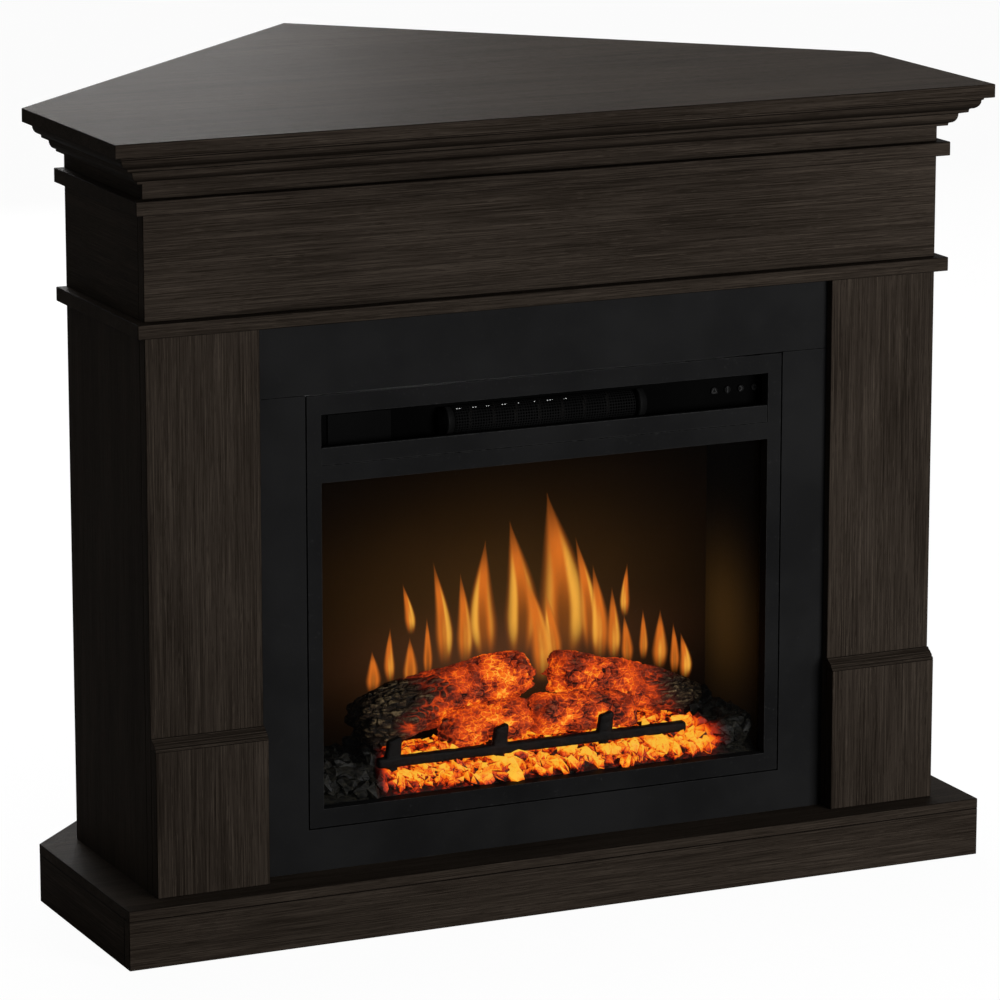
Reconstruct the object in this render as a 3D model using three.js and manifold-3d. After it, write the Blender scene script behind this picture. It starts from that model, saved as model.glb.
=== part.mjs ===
// Corner fireplace with an electric fire. A dark oak mantel of flat boards stands across the corner of
// a room: its top and base are five sided, with two short square returns and two wall edges at 45
// degrees. A black surround fills the front, and the fire sits in it: heater slot above, window below,
// and behind the window a bed of embers, a grate, logs and a flame screen lit by a turning rotor.
// Millimetres. +X is right, +Y goes into the corner, +Z is up. The origin is on the floor, in the
// middle of the footprint's length and depth. Inside the model Y is measured from the top board's front.
import * as THREE from 'three';
import { mergeVertices } from 'three/addons/utils/BufferGeometryUtils.js';
import Module from 'manifold-3d';

const wasm = await Module();
wasm.setup();

// ---- Driving dimensions: mantel ----
const TOP_RETURN = 300; // straight side of the top board, before the wall edge turns away
const TOP_THICK = 16;
const TOP_OVERHANG = 9.5; // from the cornice to the top board's edge
const BODY_REAR_INSET = 1.5; // the body's sides end this far before the returns do
const BOARD = 16;
const CORNICE_HEIGHT = 37;
const CORNICE_REACH = 40;
const NECK_HEIGHT = 18; // plain band under the cornice
const LEDGE_THICK = 16.5;
const LEDGE_REACH = 12;
const FRIEZE_HEIGHT = 121.5;
const PILASTER_WIDTH = 137.5;
const BLOCK_HEIGHT = 171.5;
const BLOCK_THICK = 15.5;
const BLOCK_MOULDING_HEIGHT = 12.5;
const BASE_HEIGHT = 70;
const BASE_TOP_THICK = 12.5;
const BASE_INSET = 2.5; // from the top board's edge to the base, all round
const BASE_RAIL_SETBACK = 12; // cross rail to the rear end of the body
const POST_SIDE = 60;
const POST_INSET = 30; // from the base's far corner to the post's far edge

// ---- Driving dimensions: surround and front of the fire ----
const SURROUND_SETBACK = 10; // behind the pilasters' faces
const SURROUND_THICK = 16;
const SURROUND_GAP = 1.8; // shadow gap round the fire
const SURROUND_SEAM = 0.6;
const SURROUND_MARGIN = 58.7; // black panel between a pilaster and the gap beside the fire
const HEADER_HEIGHT = 84.2; // black panel above the fire
const FIRE_WIDTH = 605;
const FIRE_HEIGHT = 507;
const FIRE_RISE = 51.5; // from the base board to the fire's lower edge
const FRAME_STILE = 17.5;
const FRAME_BOTTOM_RAIL = 21.5;
const FRAME_TOP_RAIL = 22.2;
const FRAME_LINTEL = 20; // between window and slot
const SLOT_HEIGHT = 59.3; // trim bar included
const BAR_HEIGHT = 20.6;
const BAR_DEPTH = 6.3;
const BAR_SETBACK = 0.6;

// ---- Driving dimensions: inside the fire ----
const SHEET = 1.5;
const CASE_CLEARANCE = 4; // between the frame's edge return and the case
const SCREEN_THICK = 2;
const GLASS_THICK = 4;
const GLASS_LAP = 6;
const CEILING_RISE = 6; // firebox ceiling above the window
const GRILLE_LENGTH = 260;
const GRILLE_RADIUS = 16.5;
const GRILLE_CAP = 15;
const GRILLE_SLOTS = 22;
const GRILLE_STEPS = 12; // flats round the half tube
const GRILLE_TO_BAR = 0.3; // front of the grille behind the back of the trim bar
const GRILLE_DROP = 6; // grille's middle under the middle of the open slot
const COVER_WIDTH = 78;
const COVER_HEIGHT = 36;
const COVER_THICK = 2;
const COVER_FROM_EDGE = 17.5; // from the slot's left end
const COVER_RISE = 1; // above the grille's middle
const BUTTON_COUNT = 4;
const BUTTON_PITCH = 17.7;
const BUTTON_RADIUS = 4.2;
const BUTTON_PROUD = 2;
const BUTTON_TRAVEL = 1.5;
const BUTTON_CHAMFER = 0.6;
const BUTTON_FLANGE = 1.2; // thickness and reach of the flange that keeps a button in
const BUTTON_RISE = 5; // above the grille's middle
const BUTTON_SIDES = 20;
const LAST_BUTTON_FROM_EDGE = 6.5; // from the slot's right end to the last button's middle
const PCB_THICK = 1.6;
const CONTROL_MARGIN = 7; // circuit board past the last button's middle
const CONTROL_TAIL = 17; // and past the first's
const CONTROL_DROP = 18;
const CONTROL_LIFT = 16;
const SWITCH_SIDE = 6;
const SWITCH_HEIGHT = 2;
const PILLAR_SIDE = 4;
const PILLAR_INSET = 3;
const GLAND_FROM_SIDE = 46;
const GLAND_RISE = 24; // above the underside of the case
const GLAND_RADIUS = 8;
const GLAND_BORE = 4; // radius
const GLAND_STAND = 14; // outside the rear cover
const GLAND_TAPER = 1.5;
const GLAND_SIDES = 20;
const NUT_REACH = 3;
const NUT_THICK = 7;
const NUT_CHAMFER = 1;
const VENT_ROWS = 2;
const VENTS_EACH_SIDE = 6; // of the middle one
const VENT_WIDTH = 8;
const VENT_HEIGHT = 26;
const VENT_PITCH = 20;
const VENT_INSET = 20; // under the top of the case
const VENT_ROW_GAP = 10;
const BLOWER_RADIUS = 20;
const BLOWER_BLADES = 18;
const BLOWER_CLEARANCE = 6;
const BLOWER_DISC = 2;
const BLADE_DEPTH = 5;
const BLADE_INSET = 0.5;
const BLADE_THICK = 0.8;
const BLADE_ANGLE = 0.5;
const SCROLL_CORNER = 12;
const INTAKE_INSET = 10;
const INTAKE_HEIGHT = 16;
const SHAFT_RADIUS = 3;
const SHAFT_ENTRY = 8; // how far a shaft reaches into its motor
const SHAFT_STUB = 4; // past its far bearing
const SHAFT_SIDES = 12;
const MOTOR_RADIUS = 21;
const MOTOR_LENGTH = 34;
const DRIVE_CLEARANCE = 3.75; // round the rotor's motor, to the flame screen and the rear cover
const HEATER_THICK = 8;
const HEATER_RIM = 4;
const HEATER_CELLS = 8;
const ROTOR_RADIUS = 15;
const ROTOR_VANES = 14;
const ROTOR_HEIGHT = 48; // axis above the case floor
const VANE_THICK = 1;
const VANE_MARGIN = 8; // from the bracket and the motor
const VANE_SHARE = 0.8; // of its pitch along the shaft
const VANE_TURN = Math.PI / 5; // from each to the next
const BRACKET_THICK = 2.5;
const BRACKET_FROM_WALL = 24;
const BRACKET_FOOT = 32;
const BRACKET_HEAD = 18;
const BRACKET_RISE = 10; // above the shaft
const SEAT_GAP = 0.3;
const JOINT_GAP = 0.3;
const PAST = 1; // how far a cutting tool runs past what it cuts
const FUSE = 0.5; // how far joined solids reach into each other

// ---- Driving dimensions: the fire's contents ----
const EMBER_FRONT_HEIGHT = 14; // lip of the ember bed above the case floor
const EMBER_BACK_HEIGHT = 32;
const EMBER_SLOPE_DEPTH = 26;
const EMBER_SKIN = 3;
const COAL_RADIUS = 9;
const COAL_PITCH = 17;
const COAL_SCATTER = 3;
const COAL_LIFT = 3; // middles of the front row above the lip
const COAL_SINK = 1; // middles of the other rows in the bed
const COAL_SMALLEST = 0.8;
const COAL_SPREAD = 0.3; // sizes, and stretch along the fire
const COAL_FLATTEN = 0.85;
const COAL_ROOM = 1.6; // radii that a coal needs on each side
const BANK_RADIUS = 16; // coals heaped against each side wall
const BANK_PITCH = 20;
const BANK_SINK = 4; // in the bed
const BANK_FALL = 4; // from each to the next, away from the wall
const BANK_COUNT = 3; // both away from the wall and along it
const BANK_SETBACK = 22; // from the bed's front edge
const GRATE_TINES = 3;
const GRATE_MARGIN_LEFT = 89; // from the window's side to the bars' ends
const GRATE_MARGIN_RIGHT = 85;
const GRATE_OVERRUN_LEFT = 16; // bars past the first tine
const GRATE_OVERRUN_RIGHT = 106; // front bar past the last one
const GRATE_SETBACK = 42; // from the fire's face to the front bar
const GRATE_BACK_GAP = 4;
const GRATE_BAR = 8;
const GRATE_CLEARANCE = 2; // under the bars, over the coals
const GRATE_LEG_INSET = 1;
const GRATE_TINE_HEIGHT = 24;
const GRATE_TINE_LEAN = 2.4; // its left side at the top, to the right of its place at the foot
const BACK_LEFT_LOG_OVERHANG = 14; // past the first tine
const BACK_LEFT_LOG_SETBACK = 57; // middle line at the left end, from the back of the front bar
const BACK_LEFT_LOG_THICK = 60;
const BACK_LEFT_LOG_THIN = 48;
const BACK_LOG_SPACING = 32; // between the two back logs
const BACK_RIGHT_LOG_OVERHANG = 28;
const BACK_RIGHT_LOG_SETBACK = 77.5;
const BACK_RIGHT_LOG_LENGTH = 196;
const BACK_RIGHT_LOG_THICK = 48;
const FRONT_LEFT_LOG_OVERHANG = 58; // past the middle tine
const FRONT_LEFT_LOG_SETBACK = 23;
const FRONT_LEFT_LOG_LENGTH = 108;
const FRONT_LEFT_LOG_THICK = 42;
const FRONT_LEFT_LOG_THIN = 38;
const FRONT_LOG_SPACING = 6; // between the two front logs
const FRONT_RIGHT_LOG_SETBACK = 25;
const FRONT_RIGHT_LOG_LENGTH = 132;
const FRONT_RIGHT_LOG_THICK = 42;
const FRONT_RIGHT_LOG_THIN = 40;
const LOG_TO_SCREEN = 5;
const LOG_RINGS = 9;
const LOG_SIDES = 11;
const LOG_END = 0.82; // rounding at the sawn ends
const LOG_SWELL = 126; // length of the long lumps in the bark
const LOG_RIPPLE = 48; // and of the short ones
const LAMP_BOARD_MARGIN = 45;
const LAMP_BOARD_WIDTH = 40;
const LAMP_COUNT = 12;
const LAMP_SIDE = 5;
const LAMP_HEIGHT = 2;

// ---- Levels and planes worked out from the driving dimensions ----
const FIRE_HALF = FIRE_WIDTH / 2;
const FIRE_BOTTOM = BASE_HEIGHT + FIRE_RISE;
const FIRE_TOP = FIRE_BOTTOM + FIRE_HEIGHT;
const HEADER_BOTTOM = FIRE_TOP + SURROUND_GAP;
const PILASTER_TOP = HEADER_BOTTOM + HEADER_HEIGHT;
const LOWER_LEDGE_TOP = PILASTER_TOP + LEDGE_THICK;
const FRIEZE_TOP = LOWER_LEDGE_TOP + FRIEZE_HEIGHT;
const UPPER_LEDGE_TOP = FRIEZE_TOP + LEDGE_THICK;
const NECK_TOP = UPPER_LEDGE_TOP + NECK_HEIGHT;
const TOP_UNDER = NECK_TOP + CORNICE_HEIGHT;
const HEIGHT = TOP_UNDER + TOP_THICK;
const PILASTER_INNER = FIRE_HALF + SURROUND_GAP + SURROUND_MARGIN;
const BODY_HALF = PILASTER_INNER + PILASTER_WIDTH;
const BODY_FRONT = CORNICE_REACH + TOP_OVERHANG;
const TOP_HALF = BODY_HALF + BODY_FRONT;
const DEPTH = TOP_RETURN + TOP_HALF; // the wall edges run at 45 degrees
const BODY_REAR = TOP_RETURN - BODY_REAR_INSET;
const BODY_BACK_OF_FRONT = BODY_FRONT + BOARD;
const SIDE_INNER = BODY_HALF - BOARD;
const BLOCK_TOP = BASE_HEIGHT + BLOCK_HEIGHT;
const BLOCK_FRONT = BODY_FRONT - BLOCK_THICK;
const BASE_HALF = TOP_HALF - BASE_INSET;
const BASE_RETURN = TOP_RETURN - BASE_INSET;
const BASE_UNDER = BASE_HEIGHT - BASE_TOP_THICK;

const FACE = BODY_FRONT + SURROUND_SETBACK; // plane of the surround and of the fire's front
const SURROUND_BACK = FACE + SURROUND_THICK;
const FRAME_BACK = SURROUND_BACK; // the frame's returns are as deep as the panel
const WINDOW_HALF = FIRE_HALF - FRAME_STILE;
const WINDOW_BOTTOM = FIRE_BOTTOM + FRAME_BOTTOM_RAIL;
const SLOT_TOP = FIRE_TOP - FRAME_TOP_RAIL;
const SLOT_BOTTOM = SLOT_TOP - SLOT_HEIGHT;
const WINDOW_TOP = SLOT_BOTTOM - FRAME_LINTEL;

const BAR_REAR = FACE + GRATE_SETBACK + GRATE_BAR; // back of the grate's front bar
const SCREEN_FRONT = BAR_REAR + BACK_RIGHT_LOG_SETBACK + BACK_RIGHT_LOG_THICK / 2 + LOG_TO_SCREEN;
const SCREEN_BACK = SCREEN_FRONT + SCREEN_THICK;
const CASE_HALF = FIRE_HALF - SHEET - CASE_CLEARANCE;
const CASE_BOTTOM = FIRE_BOTTOM + SHEET + CASE_CLEARANCE;
const CASE_TOP = FIRE_TOP - SHEET - CASE_CLEARANCE;
const CASE_INNER = CASE_HALF - SHEET;
const CASE_FLOOR = CASE_BOTTOM + SHEET;
const CASE_CEILING = CASE_TOP - SHEET;
const CASE_FRONT = FACE + SHEET + SEAT_GAP;
const CASE_BACK = SCREEN_BACK + 2 * (MOTOR_RADIUS + DRIVE_CLEARANCE);
const FLOOR_SEAT = CASE_FLOOR + SEAT_GAP;
const WALL_SEAT = CASE_INNER - SEAT_GAP;

const GLASS_BACK = FRAME_BACK + GLASS_THICK;
const LINER_FRONT = GLASS_BACK + SEAT_GAP;
const LINER_BACK = SCREEN_FRONT - SEAT_GAP;
const FIREBOX_TOP = WINDOW_TOP + CEILING_RISE;
const BAR_BACK = FACE + BAR_SETBACK + BAR_DEPTH;
const FASCIA_FRONT = BAR_BACK + GRILLE_TO_BAR + GRILLE_RADIUS + SEAT_GAP;
const FASCIA_BACK = FASCIA_FRONT + SHEET;
const FASCIA_BOTTOM = FIREBOX_TOP + SHEET + SEAT_GAP;
const GRILLE_Z = (SLOT_BOTTOM + BAR_HEIGHT + SLOT_TOP) / 2 - GRILLE_DROP;

// ---- Materials ----
const finish = (color, roughness, metalness = 0) =>
  new THREE.MeshStandardMaterial({ color, roughness, metalness });
const oak = () => finish(0x2b231e, 0.5);
const blackPanel = () => finish(0x191919, 0.6);
const blackSteel = () => finish(0x151515, 0.5, 0.4);
const darkSteel = () => finish(0x0b0b0b, 0.6, 0.3);
const zincSteel = () => finish(0x8d9092, 0.4, 0.9);
const coverPlastic = () => finish(0x232323, 0.55);
const meshSteel = () => finish(0x3a3a3a, 0.4, 0.7);
const castIron = () => finish(0x17120f, 0.8, 0.4);
const barkResin = () => finish(0x4a2a18, 0.85);
const emberResin = () => finish(0xd8551a, 0.6);
const circuitBoard = () => finish(0x1d4a2c, 0.6);
const heaterCeramic = () => finish(0xb9b2a4, 0.8);
const clearGlass = () => {
  const glass = finish(0x202428, 0.05);
  glass.transparent = true;
  glass.opacity = 0.35;
  return glass;
};

// ---- Solids ----

// A box between two corners, given as the lowest and highest X, Y and Z.
function box(x0, x1, y0, y1, z0, z1) {
  const geometry = new THREE.BoxGeometry(1, 1, 1);
  const position = geometry.attributes.position;
  for (let i = 0; i < position.count; i++) {
    position.setXYZ(i,
      position.getX(i) > 0 ? x1 : x0,
      position.getY(i) > 0 ? y1 : y0,
      position.getZ(i) > 0 ? z1 : z0);
  }
  return geometry;
}

// The same box on the left (side -1) or the right (side 1); near and far are distances from the middle.
function sideBox(side, near, far, y0, y1, z0, z1) {
  return side > 0 ? box(near, far, y0, y1, z0, z1) : box(-far, -near, y0, y1, z0, z1);
}

// Moves every vertex of a geometry by a rule, and turns the faces outwards again if it mirrored them.
function remap(geometry, rule) {
  const position = geometry.attributes.position;
  for (let i = 0; i < position.count; i++) {
    position.setXYZ(i, ...rule(position.getX(i), position.getY(i), position.getZ(i)));
  }
  return volumeOf(geometry) < 0 ? turnedOutwards(geometry) : geometry;
}

function volumeOf(geometry) {
  const flat = geometry.index ? geometry.toNonIndexed() : geometry;
  const position = flat.attributes.position;
  const [a, b, c] = [new THREE.Vector3(), new THREE.Vector3(), new THREE.Vector3()];
  let sum = 0;
  for (let i = 0; i < position.count; i += 3) {
    a.fromBufferAttribute(position, i);
    b.fromBufferAttribute(position, i + 1);
    c.fromBufferAttribute(position, i + 2);
    sum += a.dot(b.cross(c));
  }
  return sum / 6;
}

function turnedOutwards(geometry) {
  const flat = geometry.index ? geometry.toNonIndexed() : geometry;
  const position = flat.attributes.position;
  for (let i = 0; i < position.count; i += 3) {
    const first = [position.getX(i), position.getY(i), position.getZ(i)];
    position.setXYZ(i, position.getX(i + 2), position.getY(i + 2), position.getZ(i + 2));
    position.setXYZ(i + 2, ...first);
  }
  return flat;
}

function shapeOf(points) {
  return new THREE.Shape(points.map(([u, v]) => new THREE.Vector2(u, v)));
}

// An outline extruded along one axis, from lo to hi. Its points are [x, y] along Z, [y, z] along X
// and [x, z] along Y.
function prism(axis, points, lo, hi) {
  const geometry = new THREE.ExtrudeGeometry(shapeOf(points), { depth: 1, bevelEnabled: false });
  const place = {
    z: (u, v, w) => [u, v, w],
    x: (u, v, w) => [w, u, v],
    y: (u, v, w) => [u, w, v],
  }[axis];
  return remap(geometry, (u, v, w) => place(u, v, w > 0.5 ? hi : lo));
}

const ROUND_SIDES = 24;

function rectangle(u0, u1, v0, v1) {
  return [[u0, v0], [u1, v0], [u1, v1], [u0, v1]];
}

function circle(u, v, radius, sides = ROUND_SIDES) {
  return Array.from({ length: sides }, (_, i) => {
    const angle = (i / sides) * Math.PI * 2;
    return [u + radius * Math.cos(angle), v + radius * Math.sin(angle)];
  });
}

// A round bar along X between two ends.
function barX(x0, x1, y, z, radius, sides = ROUND_SIDES) {
  return prism('x', circle(y, z, radius, sides), x0, x1);
}

function toManifold(geometry) {
  const bare = new THREE.BufferGeometry();
  bare.setAttribute('position', geometry.attributes.position.clone());
  if (geometry.index) bare.setIndex(geometry.index.clone());
  const merged = mergeVertices(bare, 1e-4);
  return new wasm.Manifold(new wasm.Mesh({
    numProp: 3,
    vertProperties: new Float32Array(merged.attributes.position.array),
    triVerts: new Uint32Array(merged.index.array),
  }));
}

function fromManifold(manifold) {
  const mesh = manifold.getMesh();
  const geometry = new THREE.BufferGeometry();
  geometry.setAttribute('position', new THREE.BufferAttribute(new Float32Array(mesh.vertProperties), 3));
  geometry.setIndex(new THREE.BufferAttribute(new Uint32Array(mesh.triVerts), 1));
  const flat = geometry.toNonIndexed();
  flat.computeVertexNormals();
  return flat;
}

function joined(...geometries) {
  return fromManifold(geometries.map(toManifold).reduce((sum, next) => sum.add(next)));
}

function cut(geometry, ...tools) {
  const solid = tools.map(toManifold).reduce((rest, tool) => rest.subtract(tool), toManifold(geometry));
  return fromManifold(solid);
}

// The outer skin of a join alone, so closed pockets between its pieces are filled.
function withoutPockets(geometry) {
  const skins = toManifold(geometry).decompose();
  return fromManifold(skins.reduce((outer, skin) => (skin.volume() > outer.volume() ? skin : outer)));
}

function part(name, geometry, material) {
  geometry.computeVertexNormals();
  const mesh = new THREE.Mesh(geometry, material);
  mesh.name = name;
  return mesh;
}

// A plate with holes through it: the outline and the holes are drawn as in prism.
function pierced(axis, points, lo, hi, holes) {
  return cut(prism(axis, points, lo, hi), ...holes.map((hole) => prism(axis, hole, lo - PAST, hi + PAST)));
}

const SIDES = [['left', -1], ['right', 1]];

// ---- Mantel ----

// A five-sided board: square returns at the front, 45 degree edges behind them.
function cornerBoard(half, front, returnEnd, z0, z1) {
  const outline = [
    [-half, front], [half, front], [half, returnEnd], [0, returnEnd + half], [-half, returnEnd],
  ];
  return prism('z', outline, z0, z1);
}

// Points of a quarter round that bulges outwards, from low and near to high and far.
function ovolo(reach0, z0, reach1, z1, steps = 5) {
  return Array.from({ length: steps + 1 }, (_, i) => {
    const angle = (i / steps) * Math.PI / 2;
    return [reach0 + (reach1 - reach0) * Math.sin(angle), z1 - (z1 - z0) * Math.cos(angle)];
  });
}

// Section of the cornice and its neck: reach from the body's face, and height.
function corniceSection() {
  const drawnHeight = 37;
  const drawnReach = 40;
  const rise = CORNICE_HEIGHT / drawnHeight;
  const reach = CORNICE_REACH / drawnReach;
  const at = (r, h) => [r * reach, NECK_TOP + h * rise];
  const roll = (r0, h0, r1, h1) => ovolo(...at(r0, h0), ...at(r1, h1));
  return [
    [-BOARD, UPPER_LEDGE_TOP],
    [0, UPPER_LEDGE_TOP],
    [0, NECK_TOP],
    at(9.5, 1),
    at(10, 4),
    ...roll(11.5, 4.6, 18.5, 16),
    at(27, 18),
    at(27.5, 21.5),
    ...roll(29, 22.5, 38, 33),
    at(40, 34),
    [CORNICE_REACH, TOP_UNDER],
    [-BOARD, TOP_UNDER],
  ];
}

function cornice() {
  const section = shapeOf(corniceSection());
  const strip = () => new THREE.ExtrudeGeometry(section, { depth: 1, bevelEnabled: false });
  const mitreGap = JOINT_GAP * Math.SQRT2;
  const front = remap(strip(), (reach, z, end) => [
    (end > 0.5 ? 1 : -1) * (BODY_HALF + reach),
    BODY_FRONT - reach,
    z,
  ]);
  const pieces = [part('cornice_front', front, oak())];
  for (const [word, side] of SIDES) {
    const length = remap(strip(), (reach, z, end) => [
      side * (BODY_HALF + reach),
      end > 0.5 ? BODY_REAR : BODY_FRONT - reach + mitreGap,
      z,
    ]);
    pieces.push(part(`cornice_${word}`, length, oak()));
  }
  return pieces;
}

function ledges() {
  const half = BODY_HALF + LEDGE_REACH;
  const front = BODY_FRONT - LEDGE_REACH;
  return [
    part('upper_ledge', box(-half, half, front, TOP_RETURN, FRIEZE_TOP, UPPER_LEDGE_TOP), oak()),
    part('lower_ledge', box(-half, half, front, TOP_RETURN, PILASTER_TOP, LOWER_LEDGE_TOP), oak()),
  ];
}

function frieze() {
  const front = box(-BODY_HALF, BODY_HALF, BODY_FRONT, BODY_BACK_OF_FRONT, LOWER_LEDGE_TOP, FRIEZE_TOP);
  const pieces = [part('frieze_front', front, oak())];
  for (const [word, side] of SIDES) {
    const board = sideBox(side, SIDE_INNER, BODY_HALF, BODY_BACK_OF_FRONT, BODY_REAR,
      LOWER_LEDGE_TOP, FRIEZE_TOP);
    pieces.push(part(`frieze_${word}`, board, oak()));
  }
  return pieces;
}

// Section of the stepped moulding on a plinth block: Y and Z.
function blockMouldingSection() {
  const drawnReach = 15.5;
  const drawnHeight = 12.5;
  const reach = BLOCK_THICK / drawnReach;
  const rise = BLOCK_MOULDING_HEIGHT / drawnHeight;
  const at = (r, h) => [BODY_FRONT - r * reach, BLOCK_TOP + h * rise];
  return [
    at(0, 0),
    [BLOCK_FRONT, BLOCK_TOP],
    at(14.6, 1.2),
    at(14.4, 2.6),
    at(12.2, 3.2),
    at(11.8, 4.8),
    at(10.6, 6.4),
    at(8.6, 7.2),
    at(8.2, 8.6),
    at(6.2, 9.2),
    at(4.2, 10.6),
    at(3.4, 11.2),
    at(3, drawnHeight),
    at(0, drawnHeight),
  ];
}

function legs() {
  const pieces = [];
  for (const [word, side] of SIDES) {
    const across = (y0, y1, z0, z1) => sideBox(side, PILASTER_INNER, BODY_HALF, y0, y1, z0, z1);
    const pilaster = across(BODY_FRONT, BODY_BACK_OF_FRONT, BASE_HEIGHT, PILASTER_TOP);
    const block = across(BLOCK_FRONT, BODY_FRONT, BASE_HEIGHT, BLOCK_TOP);
    const ends = [side * PILASTER_INNER, side * BODY_HALF].sort((a, b) => a - b);
    const moulding = prism('x', blockMouldingSection(), ...ends);
    const panel = sideBox(side, SIDE_INNER, BODY_HALF, BODY_BACK_OF_FRONT, BODY_REAR,
      BASE_HEIGHT, PILASTER_TOP);
    const upright = sideBox(side, PILASTER_INNER, PILASTER_INNER + BOARD, BODY_BACK_OF_FRONT, BODY_REAR,
      BASE_HEIGHT, PILASTER_TOP);
    pieces.push(
      part(`pilaster_${word}`, pilaster, oak()),
      part(`plinth_block_${word}`, block, oak()),
      part(`plinth_moulding_${word}`, moulding, oak()),
      part(`side_panel_${word}`, panel, oak()),
      part(`inner_upright_${word}`, upright, oak()),
    );
  }
  return pieces;
}

// A square post turned to face the walls, under the far corner of the top board.
function rearPost() {
  const far = BASE_RETURN + BASE_HALF - POST_INSET;
  const half = POST_SIDE / Math.SQRT2;
  const outline = [[0, far - 2 * half], [half, far - half], [0, far], [-half, far - half]];
  return part('rear_post', prism('z', outline, BASE_HEIGHT, TOP_UNDER), oak());
}

function base() {
  const sideInner = BASE_HALF - BOARD;
  const frontBack = BASE_INSET + BOARD;
  const outerSum = BASE_RETURN + BASE_HALF; // x + y along the outer face of a wall-side board
  const innerSum = outerSum - BOARD * Math.SQRT2;
  const start = BASE_RETURN + JOINT_GAP;
  const middle = JOINT_GAP / 2;
  const railBack = BODY_REAR - BASE_RAIL_SETBACK;
  const pieces = [
    part('base_board', cornerBoard(BASE_HALF, BASE_INSET, BASE_RETURN, BASE_UNDER, BASE_HEIGHT), oak()),
    part('base_front', box(-BASE_HALF, BASE_HALF, BASE_INSET, frontBack, 0, BASE_UNDER), oak()),
    part('base_rail', box(-sideInner, sideInner, railBack - BOARD, railBack, 0, BASE_UNDER), oak()),
  ];
  for (const [word, side] of SIDES) {
    const edge = sideBox(side, sideInner, BASE_HALF, frontBack, BASE_RETURN, 0, BASE_UNDER);
    const wallSide = [
      [outerSum - start, start],
      [middle, outerSum - middle],
      [middle, innerSum - middle],
      [innerSum - start, start],
    ].map(([x, y]) => [side * x, y]);
    pieces.push(
      part(`base_side_${word}`, edge, oak()),
      part(`base_wall_side_${word}`, prism('z', wallSide, 0, BASE_UNDER), oak()),
    );
  }
  return pieces;
}

function mantel() {
  const group = new THREE.Group();
  const shelfUnder = CASE_BOTTOM - BOARD;
  const shelf = box(-PILASTER_INNER, PILASTER_INNER, SURROUND_BACK, BODY_REAR, shelfUnder, CASE_BOTTOM);
  group.add(
    part('top_board', cornerBoard(TOP_HALF, 0, TOP_RETURN, TOP_UNDER, HEIGHT), oak()),
    ...cornice(),
    ...ledges(),
    ...frieze(),
    ...legs(),
    rearPost(),
    ...base(),
    part('fire_shelf', shelf, oak()),
  );
  return group;
}

// ---- Black surround ----

function surround() {
  const group = new THREE.Group();
  const header = box(-PILASTER_INNER, PILASTER_INNER, FACE, SURROUND_BACK, HEADER_BOTTOM, PILASTER_TOP);
  const top = HEADER_BOTTOM - SURROUND_SEAM;
  const inner = FIRE_HALF + SURROUND_GAP;
  const foot = FIRE_BOTTOM - SURROUND_GAP;
  const outline = [
    [-PILASTER_INNER, BASE_HEIGHT], [PILASTER_INNER, BASE_HEIGHT], [PILASTER_INNER, top], [inner, top],
    [inner, foot], [-inner, foot], [-inner, top], [-PILASTER_INNER, top],
  ];
  group.add(
    part('header_panel', header, blackPanel()),
    part('surround_frame', prism('y', outline, FACE, SURROUND_BACK), blackPanel()),
  );
  return group;
}

// ---- Front of the fire ----

// Pressed sheet: a face with two openings, and a return round its edge and round each opening.
function frontFrame() {
  const blank = box(-FIRE_HALF, FIRE_HALF, FACE, FRAME_BACK, FIRE_BOTTOM, FIRE_TOP);
  const through = [FACE - PAST, FRAME_BACK + PAST];
  const window = box(-WINDOW_HALF, WINDOW_HALF, ...through, WINDOW_BOTTOM, WINDOW_TOP);
  const slot = box(-WINDOW_HALF, WINDOW_HALF, ...through, SLOT_BOTTOM, SLOT_TOP);
  const behind = [FACE + SHEET, FRAME_BACK + PAST];
  const half = WINDOW_HALF + SHEET;
  const grown = (z0, z1) => box(-half, half, ...behind, z0 - SHEET, z1 + SHEET);
  const hollow = cut(
    box(-FIRE_HALF + SHEET, FIRE_HALF - SHEET, ...behind, FIRE_BOTTOM + SHEET, FIRE_TOP - SHEET),
    grown(WINDOW_BOTTOM, WINDOW_TOP),
    grown(SLOT_BOTTOM, SLOT_TOP),
  );
  return part('front_frame', cut(blank, window, slot, hollow), blackSteel());
}

// A shallow channel of bent sheet, open at the back, that stands in the foot of the slot.
function trimBar() {
  const front = FACE + BAR_SETBACK;
  const back = BAR_BACK;
  const bottom = SLOT_BOTTOM + SEAT_GAP;
  const top = SLOT_BOTTOM + BAR_HEIGHT;
  const half = WINDOW_HALF - SEAT_GAP;
  const section = [
    [front, bottom], [back, bottom], [back, bottom + SHEET], [front + SHEET, bottom + SHEET],
    [front + SHEET, top - SHEET], [back, top - SHEET], [back, top], [front, top],
  ];
  return part('slot_trim_bar', prism('x', section, -half, half), blackSteel());
}

function buttonX(index) {
  return WINDOW_HALF - LAST_BUTTON_FROM_EDGE - (BUTTON_COUNT - 1 - index) * BUTTON_PITCH;
}

const BUTTON_Z = GRILLE_Z + BUTTON_RISE;

function fascia() {
  const outline = rectangle(-WALL_SEAT, WALL_SEAT, FASCIA_BOTTOM, CASE_CEILING - SEAT_GAP);
  const outletHalf = GRILLE_LENGTH / 2 - GRILLE_CAP;
  const outletRise = GRILLE_RADIUS - SHEET;
  const holes = [rectangle(-outletHalf, outletHalf, GRILLE_Z - outletRise, GRILLE_Z + outletRise)];
  for (let i = 0; i < BUTTON_COUNT; i++) {
    holes.push(circle(buttonX(i), BUTTON_Z, BUTTON_RADIUS + SEAT_GAP, BUTTON_SIDES));
  }
  return part('fascia', pierced('y', outline, FASCIA_FRONT, FASCIA_BACK, holes), darkSteel());
}

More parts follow.
